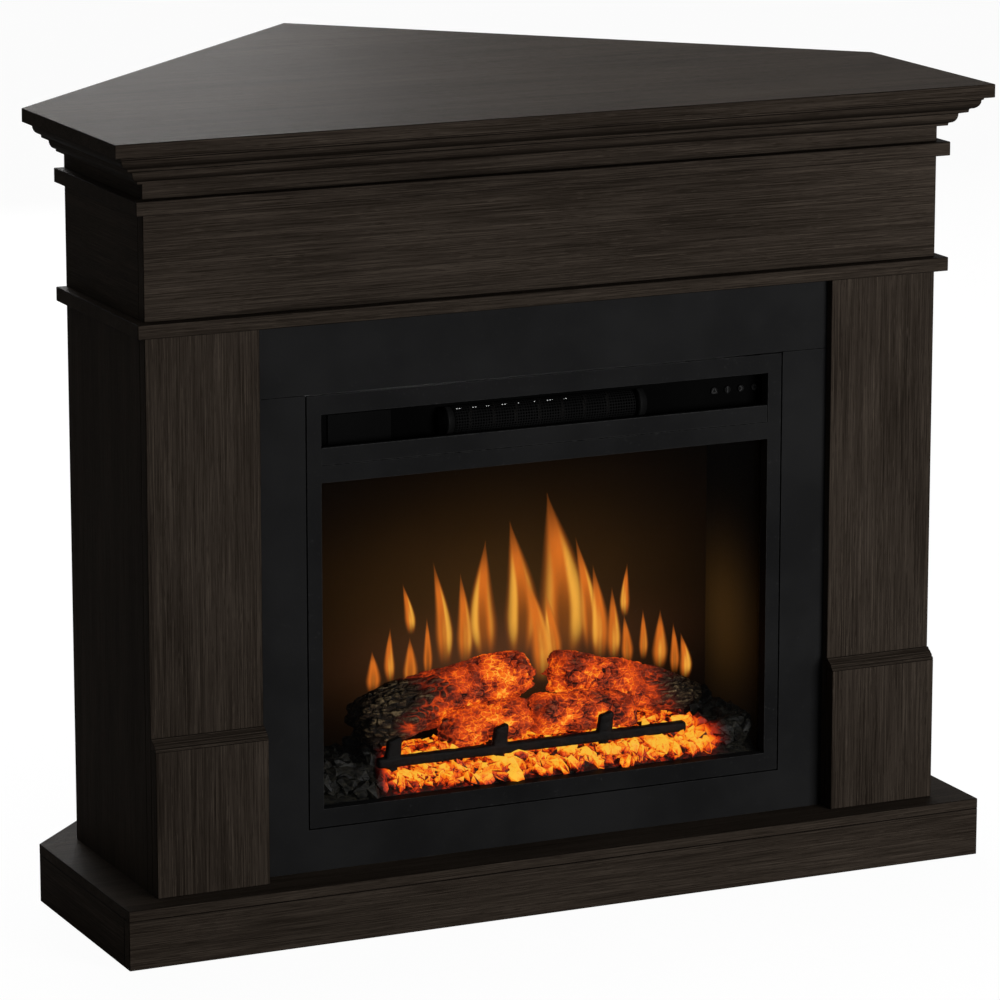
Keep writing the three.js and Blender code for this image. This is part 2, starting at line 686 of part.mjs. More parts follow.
function coverPlate() {
  const left = -WINDOW_HALF + COVER_FROM_EDGE;
  const middle = GRILLE_Z + COVER_RISE;
  const plate = box(left, left + COVER_WIDTH, FASCIA_FRONT - COVER_THICK, FASCIA_FRONT,
    middle - COVER_HEIGHT / 2, middle + COVER_HEIGHT / 2);
  return part('cover_plate', plate, coverPlastic());
}

// A half tube of slotted sheet with a solid cap at each end, flat against the fascia.
function outletGrille() {
  const half = GRILLE_LENGTH / 2;
  const back = FASCIA_FRONT - SEAT_GAP;
  const slotDepth = 0.65; // of the radius, from the front
  const halfRound = (radius) => Array.from({ length: GRILLE_STEPS + 1 }, (_, i) => {
    const angle = (i / GRILLE_STEPS) * Math.PI;
    return [back - radius * Math.sin(angle), GRILLE_Z + radius * Math.cos(angle)];
  });
  const inner = half - GRILLE_CAP;
  const shell = prism('x', halfRound(GRILLE_RADIUS), -half, half);
  const boreSection = halfRound(GRILLE_RADIUS - SHEET).map(([y, z]) => [y === back ? back + PAST : y, z]);
  const bore = prism('x', boreSection, -inner, inner);
  const pitch = (2 * inner) / GRILLE_SLOTS;
  const slots = Array.from({ length: GRILLE_SLOTS }, (_, i) => {
    const middle = -inner + (i + 0.5) * pitch;
    return box(middle - pitch / 4, middle + pitch / 4,
      back - GRILLE_RADIUS - PAST, back - GRILLE_RADIUS * (1 - slotDepth),
      GRILLE_Z - GRILLE_RADIUS, GRILLE_Z + GRILLE_RADIUS);
  });
  return part('outlet_grille', cut(shell, bore, ...slots), meshSteel());
}

const BUTTON_NAMES = ['button_power', 'button_heat', 'button_flame', 'button_timer'];

function buttons() {
  const profile = [
    [0, -BUTTON_PROUD],
    [BUTTON_RADIUS - BUTTON_CHAMFER, -BUTTON_PROUD],
    [BUTTON_RADIUS, -BUTTON_PROUD + BUTTON_CHAMFER],
    [BUTTON_RADIUS, SHEET + SEAT_GAP],
    [BUTTON_RADIUS + BUTTON_FLANGE, SHEET + SEAT_GAP],
    [BUTTON_RADIUS + BUTTON_FLANGE, SHEET + SEAT_GAP + BUTTON_FLANGE],
    [0, SHEET + SEAT_GAP + BUTTON_FLANGE],
  ].map(([r, y]) => new THREE.Vector2(r, y));
  return BUTTON_NAMES.map((name, i) => {
    const button = part(name, new THREE.LatheGeometry(profile, BUTTON_SIDES), coverPlastic());
    button.position.set(buttonX(i), FASCIA_FRONT, BUTTON_Z);
    return button;
  });
}

// A circuit board behind the buttons, on four pillars, with a key switch behind each button.
function controlBoard() {
  const flangeBack = FASCIA_BACK + SEAT_GAP + BUTTON_FLANGE;
  const switchFront = flangeBack + BUTTON_TRAVEL + SEAT_GAP;
  const front = switchFront + SWITCH_HEIGHT;
  const x0 = buttonX(0) - CONTROL_TAIL;
  const x1 = buttonX(BUTTON_COUNT - 1) + CONTROL_MARGIN;
  const z0 = BUTTON_Z - CONTROL_DROP;
  const z1 = BUTTON_Z + CONTROL_LIFT;
  const stud = (x, z, side, y) =>
    box(x - side / 2, x + side / 2, y, front + FUSE, z - side / 2, z + side / 2);
  const pieces = [box(x0, x1, front, front + PCB_THICK, z0, z1)];
  for (let i = 0; i < BUTTON_COUNT; i++) {
    pieces.push(stud(buttonX(i), BUTTON_Z, SWITCH_SIDE, switchFront));
  }
  for (const x of [x0 + PILLAR_INSET, x1 - PILLAR_INSET]) {
    for (const z of [z0 + PILLAR_INSET, z1 - PILLAR_INSET]) {
      pieces.push(stud(x, z, PILLAR_SIDE, FASCIA_BACK + SEAT_GAP));
    }
  }
  return part('control_board', joined(...pieces), circuitBoard());
}

function fireFront() {
  const group = new THREE.Group();
  group.add(frontFrame(), trimBar(), fascia(), coverPlate(), outletGrille(), controlBoard());
  group.add(...buttons());
  return group;
}

// ---- Case of the fire ----

const GLAND_X = -CASE_HALF + GLAND_FROM_SIDE;
const GLAND_Z = CASE_BOTTOM + GLAND_RISE;

function shell() {
  const outline = rectangle(-CASE_HALF, CASE_HALF, CASE_BOTTOM, CASE_TOP);
  const hole = rectangle(-CASE_INNER, CASE_INNER, CASE_FLOOR, CASE_CEILING);
  return part('case', pierced('y', outline, CASE_FRONT, CASE_BACK, [hole]), zincSteel());
}

// Back sheet with two rows of vents behind the blower and a hole for the gland.
function rearCover() {
  const outline = rectangle(-CASE_HALF, CASE_HALF, CASE_BOTTOM, CASE_TOP);
  const holes = [circle(GLAND_X, GLAND_Z, GLAND_RADIUS + SEAT_GAP, GLAND_SIDES)];
  for (let row = 0; row < VENT_ROWS; row++) {
    const top = CASE_TOP - VENT_INSET - row * (VENT_HEIGHT + VENT_ROW_GAP);
    for (let i = -VENTS_EACH_SIDE; i <= VENTS_EACH_SIDE; i++) {
      const left = i * VENT_PITCH - VENT_WIDTH / 2;
      holes.push(rectangle(left, left + VENT_WIDTH, top - VENT_HEIGHT, top));
    }
  }
  return part('rear_cover', pierced('y', outline, CASE_BACK, CASE_BACK + SHEET, holes), zincSteel());
}

// Threaded gland with a nut on each side of the rear cover and a bore for the cable.
function cableGland() {
  const nut = GLAND_RADIUS + NUT_REACH;
  const profile = [
    [GLAND_BORE, -NUT_THICK],
    [nut, -NUT_THICK],
    [nut, -SEAT_GAP],
    [GLAND_RADIUS, -SEAT_GAP],
    [GLAND_RADIUS, SHEET + SEAT_GAP],
    [nut, SHEET + SEAT_GAP],
    [nut, SHEET + NUT_THICK - NUT_CHAMFER],
    [GLAND_RADIUS, SHEET + NUT_THICK],
    [GLAND_RADIUS - GLAND_TAPER, SHEET + GLAND_STAND],
    [GLAND_BORE, SHEET + GLAND_STAND],
    [GLAND_BORE, -NUT_THICK],
  ].map(([r, y]) => new THREE.Vector2(r, y));
  const gland = part('cable_gland', new THREE.LatheGeometry(profile, GLAND_SIDES), coverPlastic());
  gland.position.set(GLAND_X, CASE_BACK, GLAND_Z);
  return gland;
}

// ---- Firebox ----

function glassPane() {
  const half = WINDOW_HALF + GLASS_LAP;
  const bottom = WINDOW_BOTTOM - GLASS_LAP;
  const pane = box(-half, half, FRAME_BACK, GLASS_BACK, bottom, WINDOW_TOP + GLASS_LAP);
  return part('glass_pane', pane, clearGlass());
}

// Sides and ceiling of the firebox, bent from one sheet.
function liner() {
  const outer = WINDOW_HALF + SHEET;
  const top = FIREBOX_TOP + SHEET;
  const section = [
    [-outer, FLOOR_SEAT], [-WINDOW_HALF, FLOOR_SEAT], [-WINDOW_HALF, FIREBOX_TOP],
    [WINDOW_HALF, FIREBOX_TOP], [WINDOW_HALF, FLOOR_SEAT], [outer, FLOOR_SEAT],
    [outer, top], [-outer, top],
  ];
  return part('firebox_liner', prism('y', section, LINER_FRONT, LINER_BACK), darkSteel());
}

function flameScreen() {
  const screen = box(-WALL_SEAT, WALL_SEAT, SCREEN_FRONT, SCREEN_BACK, FLOOR_SEAT, FIREBOX_TOP + SHEET);
  return part('flame_screen', screen, darkSteel());
}

// Repeatable scatter: a number from 0 to 1 for each whole number.
function scatter(n) {
  const [stride, spread] = [12.9898, 43758.5453];
  const wave = Math.sin(n * stride) * spread;
  return wave - Math.floor(wave);
}

function lump(x, y, z, radius, seed) {
  const geometry = new THREE.IcosahedronGeometry(radius, 0);
  geometry.rotateX(scatter(seed) * Math.PI);
  geometry.rotateY(scatter(seed + 0.3) * Math.PI);
  geometry.scale(1 + COAL_SPREAD * scatter(seed + 0.7), 1, COAL_FLATTEN);
  geometry.translate(x, y, z);
  return geometry;
}

const EMBER_FRONT = LINER_FRONT + SEAT_GAP;
const EMBER_BACK = LINER_BACK - SEAT_GAP;
const EMBER_TOP = CASE_FLOOR + EMBER_BACK_HEIGHT;
const GRATE_Y = FACE + GRATE_SETBACK;
const GRATE_UNDER = EMBER_TOP + COAL_RADIUS + GRATE_CLEARANCE;
const GRATE_TOP = GRATE_UNDER + GRATE_BAR;
const GRATE_BACK = EMBER_BACK - GRATE_BAR - GRATE_BACK_GAP;
const GRATE_LEFT = -WINDOW_HALF + GRATE_MARGIN_LEFT;
const GRATE_RIGHT = WINDOW_HALF - GRATE_MARGIN_RIGHT;
const TINE_RUN = GRATE_RIGHT - GRATE_LEFT - GRATE_OVERRUN_LEFT - GRATE_OVERRUN_RIGHT;

function tineX(index) {
  return GRATE_LEFT + GRATE_OVERRUN_LEFT + (index * TINE_RUN) / (GRATE_TINES - 1);
}

// Section of the ember bed's skin, open underneath for the lamps: Y and Z.
function emberSection(lip, crest) {
  const inner = EMBER_TOP - EMBER_SKIN;
  return [
    [EMBER_FRONT, FLOOR_SEAT],
    [EMBER_FRONT + EMBER_SKIN, FLOOR_SEAT],
    [EMBER_FRONT + EMBER_SKIN, lip - EMBER_SKIN],
    [crest, inner],
    [EMBER_BACK - EMBER_SKIN, inner],
    [EMBER_BACK - EMBER_SKIN, FLOOR_SEAT],
    [EMBER_BACK, FLOOR_SEAT],
    [EMBER_BACK, EMBER_TOP],
    [crest, EMBER_TOP],
    [EMBER_FRONT, lip],
  ];
}

// Coals heaped against one side wall: highest at the wall, lower away from it.
function coalBank(side) {
  const coals = [];
  const nearWall = WINDOW_HALF - SEAT_GAP - FUSE - BANK_RADIUS * (1 + COAL_SPREAD);
  for (let out = 0; out < BANK_COUNT; out++) {
    for (let along = 0; along < BANK_COUNT; along++) {
      const seed = 50 * (side + 2) + out * BANK_COUNT + along;
      const x = side * (nearWall - out * BANK_PITCH);
      const y = EMBER_FRONT + BANK_SETBACK + along * BANK_PITCH;
      const z = EMBER_TOP + BANK_RADIUS * COAL_FLATTEN - BANK_SINK - out * BANK_FALL;
      coals.push(lump(x, y, z, BANK_RADIUS, seed));
    }
  }
  return coals;
}

// A moulded skin with coals standing on it: a row along the lip, two on the bed and a bank at each side.
function emberBed() {
  const half = WINDOW_HALF - SEAT_GAP;
  const crest = EMBER_FRONT + EMBER_SLOPE_DEPTH;
  const lip = CASE_FLOOR + EMBER_FRONT_HEIGHT;
  const pieces = [prism('x', emberSection(lip, crest), -half, half)];
  const coalRoom = COAL_RADIUS * COAL_ROOM;
  const reach = half - coalRoom;
  const columns = Math.floor((2 * reach) / COAL_PITCH);
  const rows = [
    [EMBER_FRONT + coalRoom, lip + COAL_LIFT],
    [crest, EMBER_TOP - COAL_SINK],
    [crest + COAL_PITCH * COAL_ROOM, EMBER_TOP - COAL_SINK],
  ];
  const legs = Array.from({ length: GRATE_TINES }, (_, i) => tineX(i));
  rows.forEach(([y, z], row) => {
    for (let i = 0; i <= columns; i++) {
      const seed = row * 100 + i;
      const x = -reach + (i * 2 * reach) / columns;
      const underTine = legs.some((leg) => Math.abs(x - leg) < GRATE_BAR + coalRoom);
      if (row > 0 && underTine) continue;
      const radius = COAL_RADIUS * (COAL_SMALLEST + COAL_SPREAD * scatter(seed));
      pieces.push(lump(x, y + (scatter(seed + 0.1) - 0.5) * COAL_SCATTER, z, radius, seed));
    }
  });
  for (const [, side] of SIDES) pieces.push(...coalBank(side));
  return part('ember_bed', withoutPockets(joined(...pieces)), emberResin());
}

// Cast bars: one along the front, one along the back, a cross bar with a leg and a tine at each place.
function grate() {
  const backRight = tineX(GRATE_TINES - 1) + GRATE_OVERRUN_LEFT;
  const leg = EMBER_TOP + SEAT_GAP;
  const inset = GRATE_LEG_INSET;
  const frontRear = GRATE_Y + GRATE_BAR;
  const backRear = GRATE_BACK + GRATE_BAR;
  const pieces = [
    box(GRATE_LEFT, GRATE_RIGHT, GRATE_Y, frontRear, GRATE_UNDER, GRATE_TOP),
    box(GRATE_LEFT, backRight, GRATE_BACK, backRear, GRATE_UNDER, GRATE_TOP),
  ];
  for (let i = 0; i < GRATE_TINES; i++) {
    const x = tineX(i);
    const left = x - GRATE_BAR / 2;
    const right = x + GRATE_BAR / 2;
    const tine = [
      [x - GRATE_BAR, GRATE_UNDER],
      [x + GRATE_BAR, GRATE_UNDER],
      [x + GRATE_BAR + GRATE_TINE_LEAN, GRATE_TOP + GRATE_TINE_HEIGHT],
      [x - GRATE_BAR + 2 * GRATE_TINE_LEAN, GRATE_TOP + GRATE_TINE_HEIGHT - GRATE_BAR / 2],
    ];
    pieces.push(
      box(left, right, GRATE_Y, backRear, GRATE_UNDER, GRATE_TOP),
      box(left, right, GRATE_Y + inset, frontRear - inset, leg, GRATE_TOP),
      box(left, right, GRATE_BACK + inset, backRear - inset, leg, GRATE_TOP),
      prism('y', tine, GRATE_Y + inset, frontRear - inset),
    );
  }
  return part('grate', joined(...pieces), castIron());
}

// A log along X from its left end: it tapers, bends and has a lumpy bark outline.
function logGeometry(length, thick, thin, seed) {
  const profile = [new THREE.Vector2(0, 0)];
  for (let i = 0; i <= LOG_RINGS; i++) {
    const t = i / LOG_RINGS;
    const endRound = i === 0 || i === LOG_RINGS ? LOG_END : 1;
    profile.push(new THREE.Vector2(((thick + (thin - thick) * t) / 2) * endRound, length * t));
  }
  profile.push(new THREE.Vector2(0, length));
  const geometry = new THREE.LatheGeometry(profile, LOG_SIDES);
  const [swellDepth, rippleDepth, bendShare] = [0.07, 0.05, 0.06];
  return remap(geometry, (a, along, b) => {
    const around = Math.atan2(b, a);
    const swell = Math.sin(3 * around + (2 * Math.PI * along) / LOG_SWELL + seed);
    const ripple = Math.sin((2 * Math.PI * along) / LOG_RIPPLE + seed * 2);
    const out = 1 + swellDepth * swell + rippleDepth * ripple;
    const bend = Math.sin((along / length) * Math.PI) * thick * bendShare;
    return [along, a * out, b * out + bend];
  });
}

// The lowest point of a log over a cross bar whose middle is at x.
function lowestOver(geometry, x) {
  const slab = box(x - GRATE_BAR / 2, x + GRATE_BAR / 2, -DEPTH, DEPTH, -DEPTH, DEPTH);
  return toManifold(geometry).intersect(toManifold(slab)).boundingBox().min[2];
}

// Lays a log down: its left end at x, its middle line at y, tilted and turned. It rests on the grate's
// cross bars that are named by number, or with its lowest point on the ember bed.
function placedLog(name, { x, y, length, thick, thin, tilt, turn, bars = [], seed }) {
  const geometry = logGeometry(length, thick, thin, seed);
  geometry.rotateY(-THREE.MathUtils.degToRad(tilt));
  geometry.rotateZ(THREE.MathUtils.degToRad(turn));
  geometry.computeBoundingBox();
  const seats = bars.map((bar) => GRATE_TOP - lowestOver(geometry, tineX(bar) - x));
  if (bars.length === 0) seats.push(EMBER_TOP - geometry.boundingBox.min.z);
  const log = part(name, geometry, barkResin());
  log.position.set(x, y, Math.max(...seats) + SEAT_GAP);
  return log;
}

function logs() {
  const backLeftX = tineX(0) - BACK_LEFT_LOG_OVERHANG;
  const backRightX = tineX(2) - BACK_RIGHT_LOG_OVERHANG;
  const frontLeftX = tineX(1) - FRONT_LEFT_LOG_OVERHANG;
  return [
    placedLog('log_back_left', {
      x: backLeftX,
      y: BAR_REAR + BACK_LEFT_LOG_SETBACK,
      length: backRightX - BACK_LOG_SPACING - backLeftX,
      thick: BACK_LEFT_LOG_THICK,
      thin: BACK_LEFT_LOG_THIN,
      tilt: 10,
      turn: 5,
      bars: [0, 1],
      seed: 1,
    }),
    placedLog('log_back_right', {
      x: backRightX,
      y: BAR_REAR + BACK_RIGHT_LOG_SETBACK,
      length: BACK_RIGHT_LOG_LENGTH,
      thick: BACK_RIGHT_LOG_THICK,
      thin: BACK_RIGHT_LOG_THICK,
      tilt: -17,
      turn: 0,
      seed: 4,
    }),
    placedLog('log_front_left', {
      x: frontLeftX,
      y: BAR_REAR + FRONT_LEFT_LOG_SETBACK,
      length: FRONT_LEFT_LOG_LENGTH,
      thick: FRONT_LEFT_LOG_THIN,
      thin: FRONT_LEFT_LOG_THICK,
      tilt: 6,
      turn: 3,
      bars: [1],
      seed: 2,
    }),
    placedLog('log_front_right', {
      x: frontLeftX + FRONT_LEFT_LOG_LENGTH + FRONT_LOG_SPACING,
      y: BAR_REAR + FRONT_RIGHT_LOG_SETBACK,
      length: FRONT_RIGHT_LOG_LENGTH,
      thick: FRONT_RIGHT_LOG_THICK,
      thin: FRONT_RIGHT_LOG_THIN,
      tilt: -5,
      turn: 0,
      bars: [2],
      seed: 6,
    }),
  ];
}

// Strip of lamps on the case floor, under the ember bed.
function lightBoard() {
  const half = WINDOW_HALF - LAMP_BOARD_MARGIN;
  const y = (EMBER_FRONT + EMBER_BACK) / 2;
  const top = FLOOR_SEAT + PCB_THICK;
  const lamp = LAMP_SIDE / 2;
  const pieces = [box(-half, half, y - LAMP_BOARD_WIDTH / 2, y + LAMP_BOARD_WIDTH / 2, FLOOR_SEAT, top)];
  for (let i = 0; i < LAMP_COUNT; i++) {
    const x = -half + ((i + 0.5) * 2 * half) / LAMP_COUNT;
    pieces.push(box(x - lamp, x + lamp, y - lamp, y + lamp, top - FUSE, top + LAMP_HEIGHT));
  }
  return part('light_board', joined(...pieces), circuitBoard());
}

function firebox() {
  const group = new THREE.Group();
  group.add(glassPane(), liner(), flameScreen(), emberBed(), grate(), ...logs(), lightBoard());
  return group;
}

// ---- Flame rotor ----

const ROTOR_Y = (SCREEN_BACK + CASE_BACK) / 2;
const ROTOR_Z = CASE_FLOOR + ROTOR_HEIGHT;
const ROTOR_MOTOR_FACE = WALL_SEAT - MOTOR_LENGTH;
const ROTOR_BRACKET = -WALL_SEAT + BRACKET_FROM_WALL;

// A shaft with bright vanes set round it in a screw, each turned from the last.
function flameRotor() {
  const start = ROTOR_BRACKET - SHAFT_STUB;
  const end = ROTOR_MOTOR_FACE + SHAFT_ENTRY;
  const vaneStart = ROTOR_BRACKET + BRACKET_THICK + VANE_MARGIN;
  const vaneEnd = ROTOR_MOTOR_FACE - VANE_MARGIN;
  const pitch = (vaneEnd - vaneStart) / ROTOR_VANES;
  const space = (1 - VANE_SHARE) / 2;
  const firstTurn = 0.1;
  const pieces = [barX(start, end, 0, 0, SHAFT_RADIUS, SHAFT_SIDES)];
  for (let i = 0; i < ROTOR_VANES; i++) {
    const vane = box(vaneStart + (i + space) * pitch, vaneStart + (i + 1 - space) * pitch,
      -ROTOR_RADIUS, ROTOR_RADIUS, -VANE_THICK / 2, VANE_THICK / 2);
    vane.rotateX(i * VANE_TURN + firstTurn);
    pieces.push(vane);
  }
  const rotor = part('flame_rotor', joined(...pieces), zincSteel());
  rotor.position.set(0, ROTOR_Y, ROTOR_Z);
  return rotor;
}

// A synchronous motor: a round body on a mounting plate, with a blind bore for the shaft.
function motor(name, face, y, z, length, radius) {
  const body = barX(face, face + length, y, z, radius);
  const bore = barX(face - PAST, face + SHAFT_ENTRY + PAST, y, z, SHAFT_RADIUS + SEAT_GAP, SHAFT_SIDES);
  return part(name, cut(body, bore), zincSteel());
}

function rotorBracket() {
  const foot = BRACKET_FOOT / 2;
  const head = BRACKET_HEAD / 2;
  const top = ROTOR_Z + BRACKET_RISE;
  const outline = [
    [ROTOR_Y - foot, FLOOR_SEAT], [ROTOR_Y + foot, FLOOR_SEAT], [ROTOR_Y + head, top], [ROTOR_Y - head, top],
  ];
  const hole = circle(ROTOR_Y, ROTOR_Z, SHAFT_RADIUS + SEAT_GAP, SHAFT_SIDES);
  const plate = pierced('x', outline, ROTOR_BRACKET, ROTOR_BRACKET + BRACKET_THICK, [hole]);
  return part('rotor_bracket', plate, zincSteel());
}

function flameDrive() {
  const group = new THREE.Group();
  group.add(
    flameRotor(),
    motor('rotor_motor', ROTOR_MOTOR_FACE, ROTOR_Y, ROTOR_Z, MOTOR_LENGTH, MOTOR_RADIUS),
    rotorBracket(),
  );
  return group;
}

// ---- Blower and heater ----

const HEATER_FRONT = FASCIA_BACK + SEAT_GAP;
const HEATER_BACK = HEATER_FRONT + HEATER_THICK;
const BLOWER_Z = (FASCIA_BOTTOM + CASE_CEILING) / 2;
const BLOWER_Y = HEATER_BACK + BLOWER_CLEARANCE + BLOWER_RADIUS;
const BLOWER_HALF = GRILLE_LENGTH / 2 - GRILLE_CAP;
const HOUSING_INNER = BLOWER_HALF + BLOWER_CLEARANCE;
const HOUSING_RISE = BLOWER_RADIUS + BLOWER_CLEARANCE;

// Blades between two discs on a shaft. The middle disc keeps the blades stiff.
function blowerWheel() {
  const shaftStart = -HOUSING_INNER - SHEET - SHAFT_STUB;
  const shaftEnd = HOUSING_INNER + SHEET + SEAT_GAP + SHAFT_ENTRY;
  const pieces = [barX(shaftStart, shaftEnd, 0, 0, SHAFT_RADIUS, SHAFT_SIDES)];
  for (const x of [-BLOWER_HALF, -BLOWER_DISC / 2, BLOWER_HALF - BLOWER_DISC]) {
    pieces.push(barX(x, x + BLOWER_DISC, 0, 0, BLOWER_RADIUS, BLOWER_BLADES * 2));
  }
  const bladeMiddle = BLOWER_RADIUS - BLADE_INSET - BLADE_DEPTH / 2;
  for (let i = 0; i < BLOWER_BLADES; i++) {
    const blade = box(-BLOWER_HALF, BLOWER_HALF, -BLADE_DEPTH / 2, BLADE_DEPTH / 2,
      -BLADE_THICK / 2, BLADE_THICK / 2);
    blade.rotateX(BLADE_ANGLE);
    blade.translate(0, bladeMiddle, 0);
    blade.rotateX((i / BLOWER_BLADES) * Math.PI * 2);
    pieces.push(blade);
  }
  const wheel = part('blower_wheel', joined(...pieces), zincSteel());
  wheel.position.set(0, BLOWER_Y, BLOWER_Z);
  return wheel;
}

// A scroll of sheet round the wheel, open to the fascia, with an air slot along its back.
function blowerHousing() {
  const back = BLOWER_Y + HOUSING_RISE;
  const bottom = BLOWER_Z - HOUSING_RISE;
  const top = BLOWER_Z + HOUSING_RISE;
  const outer = HOUSING_INNER + SHEET;
  const section = (grow, front) => [
    [front, bottom - grow],
    [back - SCROLL_CORNER, bottom - grow],
    [back + grow, bottom + SCROLL_CORNER],
    [back + grow, top - SCROLL_CORNER],
    [back - SCROLL_CORNER, top + grow],
    [front, top + grow],
  ];
  const shellBlock = prism('x', section(SHEET, HEATER_FRONT), -outer, outer);
  const room = prism('x', section(0, HEATER_FRONT - PAST), -HOUSING_INNER, HOUSING_INNER);
  const boreEnd = outer + PAST;
  const shaftHole = barX(-boreEnd, boreEnd, BLOWER_Y, BLOWER_Z, SHAFT_RADIUS + SEAT_GAP, SHAFT_SIDES);
  const intakeHalf = BLOWER_HALF - INTAKE_INSET;
  const intakeRise = INTAKE_HEIGHT / 2;
  const intake = box(-intakeHalf, intakeHalf, back - PAST, back + SHEET + PAST,
    BLOWER_Z - intakeRise, BLOWER_Z + intakeRise);
  return part('blower_housing', cut(shellBlock, room, shaftHole, intake), zincSteel());
}

// A ceramic frame with bars, between the wheel and the outlet.
function heatingElement() {
  const half = HOUSING_INNER - SEAT_GAP;
  const rise = HOUSING_RISE - SEAT_GAP;
  const outline = rectangle(-half, half, BLOWER_Z - rise, BLOWER_Z + rise);
  const pitch = (2 * (half - HEATER_RIM)) / HEATER_CELLS;
  const cellRise = rise - HEATER_RIM;
  const holes = Array.from({ length: HEATER_CELLS }, (_, i) => {
    const left = -half + HEATER_RIM + i * pitch;
    return rectangle(left + HEATER_RIM / 2, left + pitch - HEATER_RIM / 2,
      BLOWER_Z - cellRise, BLOWER_Z + cellRise);
  });
  return part('heating_element', pierced('y', outline, HEATER_FRONT, HEATER_BACK, holes), heaterCeramic());
}

function heater() {
  const group = new THREE.Group();
  const motorFace = HOUSING_INNER + SHEET + SEAT_GAP;
  group.add(
    blowerHousing(),
    blowerWheel(),
    motor('blower_motor', motorFace, BLOWER_Y, BLOWER_Z, MOTOR_LENGTH, MOTOR_RADIUS),
    heatingElement(),
  );
  return group;
}

function fire() {
  const group = new THREE.Group();
  group.add(fireFront(), shell(), rearCover(), cableGland(), firebox(), flameDrive(), heater());
  return group;
}

// ---- Assembly ----

const fireplace = new THREE.Group();
fireplace.position.y = -DEPTH / 2;
fireplace.add(mantel(), surround(), fire());

export default fireplace;
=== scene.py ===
import math
import random

import bmesh
import bpy
from mathutils import Matrix, Vector, noise


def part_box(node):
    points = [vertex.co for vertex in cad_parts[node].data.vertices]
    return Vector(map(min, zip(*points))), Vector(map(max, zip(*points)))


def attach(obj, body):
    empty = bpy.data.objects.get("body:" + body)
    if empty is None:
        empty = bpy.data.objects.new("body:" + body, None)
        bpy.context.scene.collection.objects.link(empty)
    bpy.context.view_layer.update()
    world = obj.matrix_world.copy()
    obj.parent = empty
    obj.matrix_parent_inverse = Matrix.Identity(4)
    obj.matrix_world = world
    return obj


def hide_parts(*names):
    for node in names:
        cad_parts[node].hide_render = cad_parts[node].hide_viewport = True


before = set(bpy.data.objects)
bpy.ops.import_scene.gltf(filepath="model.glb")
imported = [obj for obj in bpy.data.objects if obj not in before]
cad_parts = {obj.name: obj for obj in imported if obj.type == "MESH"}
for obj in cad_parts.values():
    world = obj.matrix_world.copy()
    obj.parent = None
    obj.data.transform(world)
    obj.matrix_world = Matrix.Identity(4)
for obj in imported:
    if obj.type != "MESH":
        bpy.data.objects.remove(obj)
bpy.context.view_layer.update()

# ---- Studio ----
# A pale floor under a plain studio: one broad soft lamp in front and to the right of the fireplace,
# one over its top board, one behind it and an even sky. The camera stands low on the left with a long lens.
LENS = 186.7
CAMERA_PLACE = Vector((-2.509, -5.656, 1.815))
CAMERA_YAW = math.radians(24.82)
CAMERA_TILT = math.radians(12.84)
SKY = 0.05
FLOOR_SIDE = 60.0
FLOOR_COLOUR = (0.45, 0.45, 0.45, 1)
FLOOR_GLOW = 0.86
FLOOR_WHITE = 1.12

scene = bpy.context.scene
scene.view_settings.view_transform = "Standard"


class Wire:
    """One output of a shader node. Arithmetic on it adds Math nodes to the same tree."""

    def __init__(self, tree, socket=None):
        self.tree = tree
        self.socket = socket

    def node(self, kind, settings=None, inputs=None, output=0):
        """Adds a node: its settings first, then the values or links of its sockets."""
        node = self.tree.nodes.new(kind)
        for name, value in (settings or {}).items():
            if name == "stops":
                for spare in range(len(value) - 2):
                    node.color_ramp.elements.new(0.5)
                for element, (place, colour) in zip(node.color_ramp.elements, value):
                    element.position = place
                    element.color = colour
            else:
                setattr(node, name, value)
        for name, value in (inputs or {}).items():
            if isinstance(value, Wire):
                self.tree.links.new(value.socket, node.inputs[name])
            else:
                node.inputs[name].default_value = value
        return Wire(self.tree, node.outputs[output] if node.outputs else None)

    def maths(self, operation, *values):
        return self.node("ShaderNodeMath", {"operation": operation}, dict(enumerate(values)))

    def __add__(self, other):
        return self.maths("ADD", self, other)

    __radd__ = __add__

    def __sub__(self, other):
        return self.maths("SUBTRACT", self, other)

    def __rsub__(self, other):
        return self.maths("SUBTRACT", other, self)

    def __mul__(self, other):
        return self.maths("MULTIPLY", self, other)

    __rmul__ = __mul__

    def __truediv__(self, other):
        return self.maths("DIVIDE", self, other)

    def __rtruediv__(self, other):
        return self.maths("DIVIDE", other, self)

    def __pow__(self, other):
        return self.maths("POWER", self, other)

    def __neg__(self):
        return self.maths("MULTIPLY", self, -1.0)

    def rise(self, low, high):
        """0 below low, 1 above high and smooth between."""
        settings = {"interpolation_type": "SMOOTHSTEP"}
        return self.node("ShaderNodeMapRange", settings, {"Value": self, 1: low, 2: high})

    def span(self, low, high):
        """The range 0 to 1 stretched to low to high."""
        return self * (high - low) + low

    def blend(self, first, second):
        """Between two colours by this value."""
        return self.node("ShaderNodeMix", {"data_type": "RGBA"}, {0: self, 6: first, 7: second}, 2)

    def tint(self, colour):
        """A colour socket times a colour."""
        settings = {"data_type": "RGBA", "blend_type": "MULTIPLY"}
        return self.node("ShaderNodeMix", settings, {0: 1.0, 6: self, 7: colour}, 2)

    def ramp(self, *stops):
        return self.node("ShaderNodeValToRGB", {"stops": stops}, {"Fac": self})


